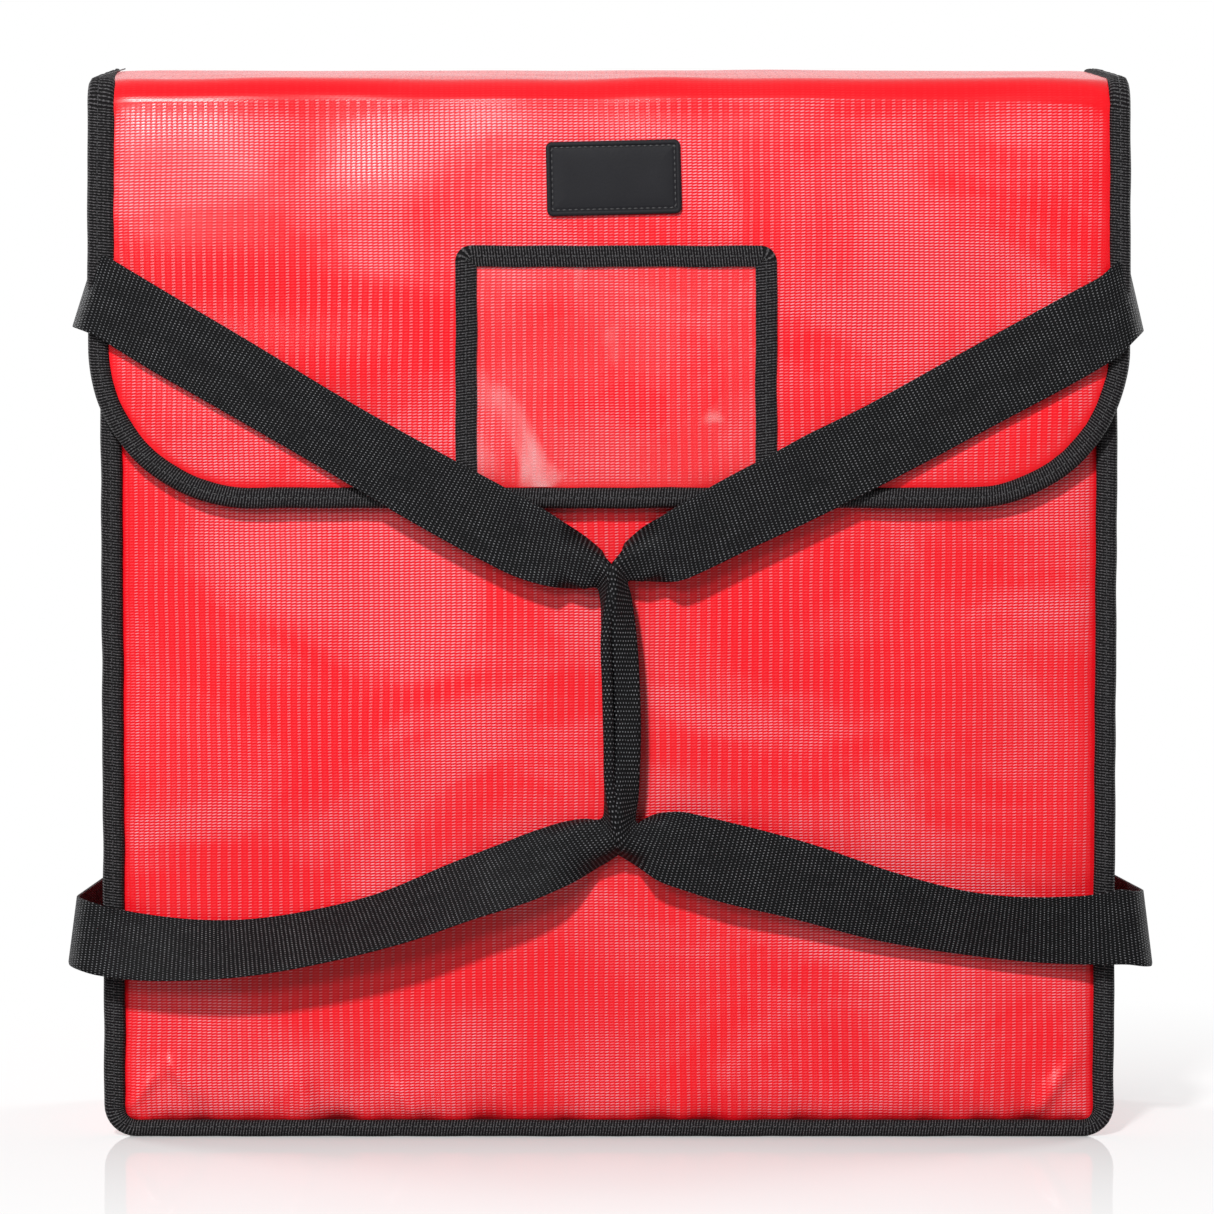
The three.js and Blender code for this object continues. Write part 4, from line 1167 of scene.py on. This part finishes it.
RIGHT_EDGE_PIXELS = [
    (1103, 276, 1121, 356, 0, 0), (1060, 299, 1090, 374.5, 0, 0), (960, 354, 995, 425.5, 0, 0),
    (860, 409, 896, 478, 0, 0), (803, 437, 835, 509, 0, 0), (773, 453.5, 800, 526, 0, 0),
    (721, 481, 746, 551, 0, 0), (694, 496.5, 711, 568, -0.5, -0.5),
    (665, 514, 680, 581, -1.5, -1.5), (642, 530, 655, 583, -2.5, -1.5),
    (625, 550, 639, 582.5, -4, -0.5), (613.5, 570, 626.5, 581.5, -6.5, 2.5),
    (614, 585, 630, 591, -7, 2.5), (613.8, 605, 632.3, 606, -6.5, 1.5),
    (613.6, 640, 636, 640, -5, -0.5), (613.8, 690, 639.3, 690, -3.5, -2),
    (614.8, 733, 640.3, 733, -3.5, -2), (615.6, 775, 638.4, 775, -4.5, -1),
    (618, 805, 637, 802, -6, 1), (618.5, 829, 635.5, 817, -6.5, 2),
    (619, 850, 639, 823, -5, 0), (627, 858, 649, 817, -3.5, 0),
    (641, 869, 664, 812.5, -2.5, 0), (656.5, 880, 680, 811.5, -1.5, 0),
    (685, 890.5, 705, 816.5, 0, 0), (714, 900, 737, 824, 0, 0), (790, 918, 808, 843, 1, -1),
    (880, 941, 897, 873.5, 4, -4), (959, 954, 972, 892.5, 6, -7),
    (1058, 964, 1058, 897.6, 5, -6), (1098, 965, 1096, 895, 3, -3),
    (1130, 965, 1121, 889.5, 1, -1),
]
PHOTO_PIXELS = 1214
PHOTO_MIDDLE = PHOTO_PIXELS / 2
PHOTO_WIDTH = 604.3
PIXEL = PHOTO_WIDTH / PHOTO_PIXELS
FLAT_FACE = COVER_FACE + STAND_OFF + CROWN


def from_photo(x, y, behind):
    """Where a place in the photograph lies, across and up, if it is that far behind the flat
    webbing. How far it is from the camera depends on its height, which is found in rounds."""
    before = FLAT_FACE - behind + AIM[1]
    distance = CAMERA_DISTANCE / MM
    right, rise = (x - PHOTO_MIDDLE) * PIXEL, (PHOTO_MIDDLE - y) * PIXEL
    up = rise
    for _ in range(6):
        far = distance - before * math.cos(CAMERA_RISE) - up * math.sin(CAMERA_RISE)
        up = (rise * far / distance + before * math.sin(CAMERA_RISE)) / math.cos(CAMERA_RISE)
    return right * far / distance + AIM[0], AIM[2] + up


def picked_edges(pixels):
    rows = []
    for outer_x, outer_y, inner_x, inner_y, outer_behind, inner_behind in pixels:
        rows.append((*from_photo(outer_x, outer_y, outer_behind),
                     *from_photo(inner_x, inner_y, inner_behind), outer_behind, inner_behind))
    return rows


FOLD_BENDS = 10
FOLD_FLATS = 4


def bent_third(radius, length, turned):
    """One side of the section, from the middle third's edge outwards. A slight bend is soft, and
    a full one turns about the radius."""
    whole = math.pi * radius + length
    bend = math.pi * radius + (SOFT_BEND - math.pi * radius) * (1 - turned) ** 2
    a, b, angle = FACE_WIDTH / 2, 0.0, 0.0
    points = []
    step = turned * math.pi / FOLD_BENDS
    for _ in range(FOLD_BENDS):
        a += bend / FOLD_BENDS * math.cos(angle + step / 2)
        b += bend / FOLD_BENDS * math.sin(angle + step / 2)
        angle += step
        points.append((a, b))
    for k in range(1, FOLD_FLATS + 1):
        along = (whole - bend) * k / FOLD_FLATS
        points.append((a + along * math.cos(angle), b + along * math.sin(angle)))
    return points


def webbing_section(fold):
    """Outline of the webbing and how far across it each point is, for a fold from 0 to 1."""
    first = bent_third(INNER_FOLD, INNER_THIRD, share(fold * 1.1))
    second = bent_third(OUTER_FOLD, OUTER_THIRD, share(fold))
    face = [(k * FACE_WIDTH / 6, 0.0) for k in range(-3, 4)]
    centre = np.array([(-a, b) for a, b in second[::-1]] + face + first)
    tangent = unit(np.gradient(centre, axis=0))
    normal = np.stack([-tangent[:, 1], tangent[:, 0]], -1)
    half = np.full(len(centre), WEB_THICK / 2)
    half[[0, -1]] *= 0.45
    outline = np.concatenate([centre - normal * half[:, None],
                              (centre + normal * half[:, None])[::-1]])
    across = along_path(centre)
    return outline, np.concatenate([across, across[::-1]])


FOLDS = np.linspace(0, 1, 80)
FOLD_WIDTHS = np.array([np.ptp(webbing_section(fold)[0][:, 0]) for fold in FOLDS])
FOLD_WIDTHS = np.minimum.accumulate(FOLD_WIDTHS)
SOFTENING_ROUNDS = 3


def webbing_piece(name, outer, inner, mirrored):
    """Webbing between its two edges. Where they come closer than it is wide, it folds back."""
    for _ in range(SOFTENING_ROUNDS):
        for rail in (outer, inner):
            rail[1:-1] = rail[1:-1] * 0.5 + (rail[:-2] + rail[2:]) * 0.25
    middle = (outer + inner) / 2
    length = along_path(middle)
    forward = unit(np.gradient(middle, axis=0))
    rings, cloth = [], []
    for i in range(len(middle)):
        across = inner[i] - outer[i]
        wide = np.linalg.norm(across)
        across /= wide
        back = unit(np.cross(forward[i], across)) * (1 if mirrored else -1)
        drawn = wide + (WEB_WIDTH - wide) * ease((wide - FOLDED_TO) / (FLAT_FROM - FOLDED_TO))
        fold = np.interp(-drawn, -FOLD_WIDTHS, FOLDS)
        outline, girth = webbing_section(fold)
        a = outline[:, 0] - (outline[:, 0].max() + outline[:, 0].min()) / 2
        a = a * wide / drawn
        rings.append(middle[i] + a[:, None] * across + outline[:, 1:] * back)
        cloth.append(np.stack([np.full(len(girth), length[i]), girth], -1))
    return loft(name, np.array(rings), np.array(cloth), [WEBBING], crease=60)


def through(rows, pitch):
    """A smooth run of values through rows of them, evenly spaced."""
    rows = np.array(rows, float)
    length = along_path(rows)
    slope = np.gradient(rows, length, axis=0)
    want = np.linspace(0, length[-1], int(length[-1] / pitch) + 1)
    k = np.clip(np.searchsorted(length, want, "right") - 1, 0, len(rows) - 2)
    step = (length[k + 1] - length[k])[:, None]
    t = ((want - length[k])[:, None]) / step
    return ((1 + 2 * t) * (1 - t) ** 2 * rows[k] + t * (1 - t) ** 2 * step * slope[k]
            + t * t * (3 - 2 * t) * rows[k + 1] - t * t * (1 - t) * step * slope[k + 1])


def front_face(x, z):
    return -(COVER_FACE + STAND_OFF + front_crown(x, z))


def front_edges(rows):
    """Places of both edges over the front of the bag."""
    outer_x, outer_z, inner_x, inner_z, outer_behind, inner_behind = through(rows, 2.6).T
    y = front_face((outer_x + inner_x) / 2, (outer_z + inner_z) / 2)
    return (np.stack([outer_x, y + outer_behind, outer_z], -1),
            np.stack([inner_x, y + inner_behind, inner_z], -1))


def side_edge(level, first, rise):
    """One edge from near the rear corner to the front one and round it, to where the front's
    webbing starts. Rise is how far above the webbing's middle that edge lies."""
    sign = math.copysign(1.0, first[0])
    reach, high = TURN_ENDS.get((level, sign, rise > 0), (abs(first[0]) + TURN_REACH, None))
    height = STRAP_HEIGHT[level] + rise
    if high is None:
        high = first[2] + (height - first[2]) * 0.8
    t = np.linspace(0, 0.97, 26)[:, None]
    rear = np.array([sign * SIDE_REACH, REAR_CORNER, height])
    corner = np.array([sign * reach, -TURN_START, high])
    straight = rear + (corner - rear) * t
    angle = np.linspace(0, math.pi / 2, 14)[:-1]
    turn = np.stack([sign * (reach - (reach - abs(first[0])) * (1 - np.cos(angle))),
                     -TURN_START + (first[1] + TURN_START) * np.sin(angle),
                     corner[2] + (first[2] - corner[2]) * (angle / (math.pi / 2)) ** 2], -1)
    return np.concatenate([straight, turn])


def make_handles():
    half = WEB_WIDTH / 2
    for side, pixels in (("left", LEFT_EDGE_PIXELS), ("right", RIGHT_EDGE_PIXELS)):
        outer, inner = front_edges(picked_edges(pixels))
        outer = np.concatenate([side_edge("upper", outer[0], half), outer,
                                side_edge("lower", outer[-1], -half)[::-1]])
        inner = np.concatenate([side_edge("upper", inner[0], -half), inner,
                                side_edge("lower", inner[-1], half)[::-1]])
        piece = webbing_piece(f"{side}_handle_webbing", outer, inner, side == "left")
        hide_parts(f"{side}_upper_leg", f"{side}_grip", f"{side}_lower_leg",
                    f"upper_{side}_side_strap", f"lower_{side}_side_strap")
        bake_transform(piece)


def make_back_webbing():
    """Webbing sewn across the back, and round both rear corners."""
    turn_start = BACK_FACE - BACK_CORNER
    for level, height in STRAP_HEIGHT.items():
        y_side = np.linspace(REAR_CORNER, turn_start, 6, endpoint=False)
        angle = math.pi - np.linspace(0, math.pi / 2, 8, endpoint=False)
        turn = BACK_CORNER * (1 + np.cos(angle)) - SIDE_REACH
        x = np.concatenate([np.full(6, -SIDE_REACH), turn])
        y = np.concatenate([y_side, turn_start + BACK_CORNER * np.sin(angle)])
        flat = np.linspace(-BACK_REACH, BACK_REACH, 90)
        lift = BACK_CROWN * crown(flat, height, BODY_HALF, BACK_TOP, CROWN)
        x = np.concatenate([x, flat, -x[::-1]])
        y = np.concatenate([y, BACK_FACE + lift, y[::-1]])
        middle = np.stack([x, y, np.full(len(x), height)], -1)
        half = np.array([0, 0, WEB_WIDTH / 2])
        piece = webbing_piece(f"{level}_back_webbing", middle + half, middle - half, False)
        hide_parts(f"{level}_back_strap")
        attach(piece, "bag")


def back_webbing_lines():
    """Sewing of the webbing on the back: both its edges, and a crossed box near either end."""
    lines = []

    def line(x0, z0, x1, z1):
        count = max(2, int(math.hypot(x1 - x0, z1 - z0) / 4))
        x = np.linspace(x0, x1, count)
        z = np.linspace(z0, z1, count)
        y = BACK_STITCH_FACE + BACK_CROWN * crown(x, z, BODY_HALF, BACK_TOP, CROWN)
        lines.append((np.stack([x, y, z], -1), (0, 1, 0)))

    for height in STRAP_HEIGHT.values():
        low, high = height - BOX_HALF_HEIGHT, height + BOX_HALF_HEIGHT
        for sign in (-1, 1):
            near, far = sign * BOX_NEAR, sign * BOX_FAR
            line(near, low, far, high)
            line(near, high, far, low)
            line(near, low, near, high)
            line(far, low, far, high)
        line(-BOX_FAR, low, BOX_FAR, low)
        line(-BOX_FAR, high, BOX_FAR, high)
    return lines


# Room, in metres

FRAME_WIDTH = 0.6035
SENSOR = 36
ROOM_LIGHT = 0.07
SHADE_HALF_WIDTH = 0.25
SHADE_HALF_DEPTH = 0.065
SHADE_REACH = 0.38
FLOOR_HALF = 6
WHITE = (1, 1, 1)


def seen_rays(finish):
    """1 on rays from the camera, and on those that a gloss or a clear film sends on."""
    path = finish.add("ShaderNodeLightPath")
    kinds = [Signal(finish, path.outputs[f"Is {kind} Ray"])
             for kind in ("Camera", "Glossy", "Transmission")]
    return (kinds[0] + kinds[1] + kinds[2]).clamped()


def make_floor():
    """White paper with a slight shine, so that it mirrors the foot of the bag."""
    finish = Finish("paper")
    x, y, _ = (Signal(finish, out) for out in finish.add(
        "ShaderNodeSeparateXYZ", None, {0: finish.on_object()}).outputs)
    beside = (x.absolute() - SHADE_HALF_WIDTH).between(0, 1, False)
    before = (y.absolute() - SHADE_HALF_DEPTH).between(0, 1, False)
    away = (beside * beside + before * before) ** 0.5
    seen = seen_rays(finish)
    shade = finish.add("ShaderNodeBsdfPrincipled", None, {
        "Base Color": finish.blend(seen, (0.30, 0.30, 0.30), (0.86, 0.86, 0.86)),
        "Roughness": 0.015})
    white = finish.add("ShaderNodeEmission", None, {"Color": WHITE, "Strength": 1.0})
    lit = seen * (away.between(0.0, SHADE_REACH, False) ** 0.6 * 0.75 + 0.25)
    mixed = finish.add("ShaderNodeMixShader", None, {
        0: lit, 1: shade.outputs[0], 2: white.outputs[0]})
    finish.tree.links.new(mixed.outputs[0], finish.out.inputs[0])
    mesh = bpy.data.meshes.new("floor")
    signs = ((-1, -1), (1, -1), (1, 1), (-1, 1))
    mesh.from_pydata([(FLOOR_HALF * x, FLOOR_HALF * y, 0) for x, y in signs], [], [(0, 1, 2, 3)])
    mesh.materials.append(finish.material)
    new_object("floor", mesh)


class Surround(Finish):
    """The studio round the bag: white where it is seen, and plainer where it only gives light."""

    def __init__(self, name):
        world = bpy.data.worlds.new(name)
        bpy.context.scene.world = world
        world.use_nodes = True
        self.tree = world.node_tree
        self.tree.nodes.clear()
        self.out = self.add("ShaderNodeOutputWorld")


def make_surround():
    finish = Surround("studio")
    soft = finish.add("ShaderNodeBackground", None, {"Color": WHITE, "Strength": ROOM_LIGHT})
    white = finish.add("ShaderNodeBackground", None, {"Color": WHITE, "Strength": 1.0})
    mixed = finish.add("ShaderNodeMixShader", None, {
        0: seen_rays(finish), 1: soft.outputs[0], 2: white.outputs[0]})
    finish.tree.links.new(mixed.outputs[0], finish.out.inputs[0])


def lamp(name, place, aim, size, power):
    light = bpy.data.lights.new(name, "AREA")
    light.shape = "RECTANGLE"
    light.size, light.size_y = size
    light.energy = power
    holder = new_object(name, light)
    holder.location = place
    holder.rotation_euler = (Vector(aim) - Vector(place)).to_track_quat("-Z", "Y").to_euler()


def make_lights():
    lamp("key", (-1.15, -4.35, 3.6), (0, 0, 0.27), (0.4, 0.4), 264)
    lamp("softbox", (-0.75, -2.45, 1.10), (-0.05, 0, 0.36), (0.75, 0.45), 14)
    for sign in (-1, 1):
        lamp("behind", (sign * 2.9, 1.9, 1.2), (0, 0, 0.25), (1.2, 1.2), 100)


def make_camera():
    """The view of the photograph: half a millimetre to a pixel at the bag's front."""
    camera = bpy.data.cameras.new("camera")
    camera.sensor_width = SENSOR
    camera.lens = SENSOR * CAMERA_DISTANCE / FRAME_WIDTH
    holder = new_object("camera", camera)
    back = Vector((0, -math.cos(CAMERA_RISE), math.sin(CAMERA_RISE)))
    holder.location = Vector(AIM) * MM + back * CAMERA_DISTANCE
    holder.rotation_mode = "QUATERNION"
    holder.rotation_quaternion = (-back).to_track_quat("-Z", "Y")
    camera.clip_start = 0.05
    bpy.context.scene.camera = holder


make_camera()
make_lights()
make_floor()
make_surround()
bpy.context.scene.view_settings.view_transform = "Standard"

make_walls()
front_seam = seam_binding("front", FRONT_TOP, 15)
back_seam = seam_binding("back", BACK_TOP, 25)
make_cover()
cover_seam = make_cover_binding()
make_mouth_binding()
make_hinge_strip()
pocket_seam = make_pocket()
label_seam = make_label()
make_hook_and_loop()
make_handles()
make_back_webbing()
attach(sew("bag_stitches", [front_seam, back_seam, *back_webbing_lines()]), "bag")
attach(sew("flap_stitches", [pocket_seam]), "flap")
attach(sew("label_stitches", [label_seam], 2.9, 2.2, 0.95, 0.9), "flap")
hinge_blend(sew("cover_stitches", [cover_seam]))
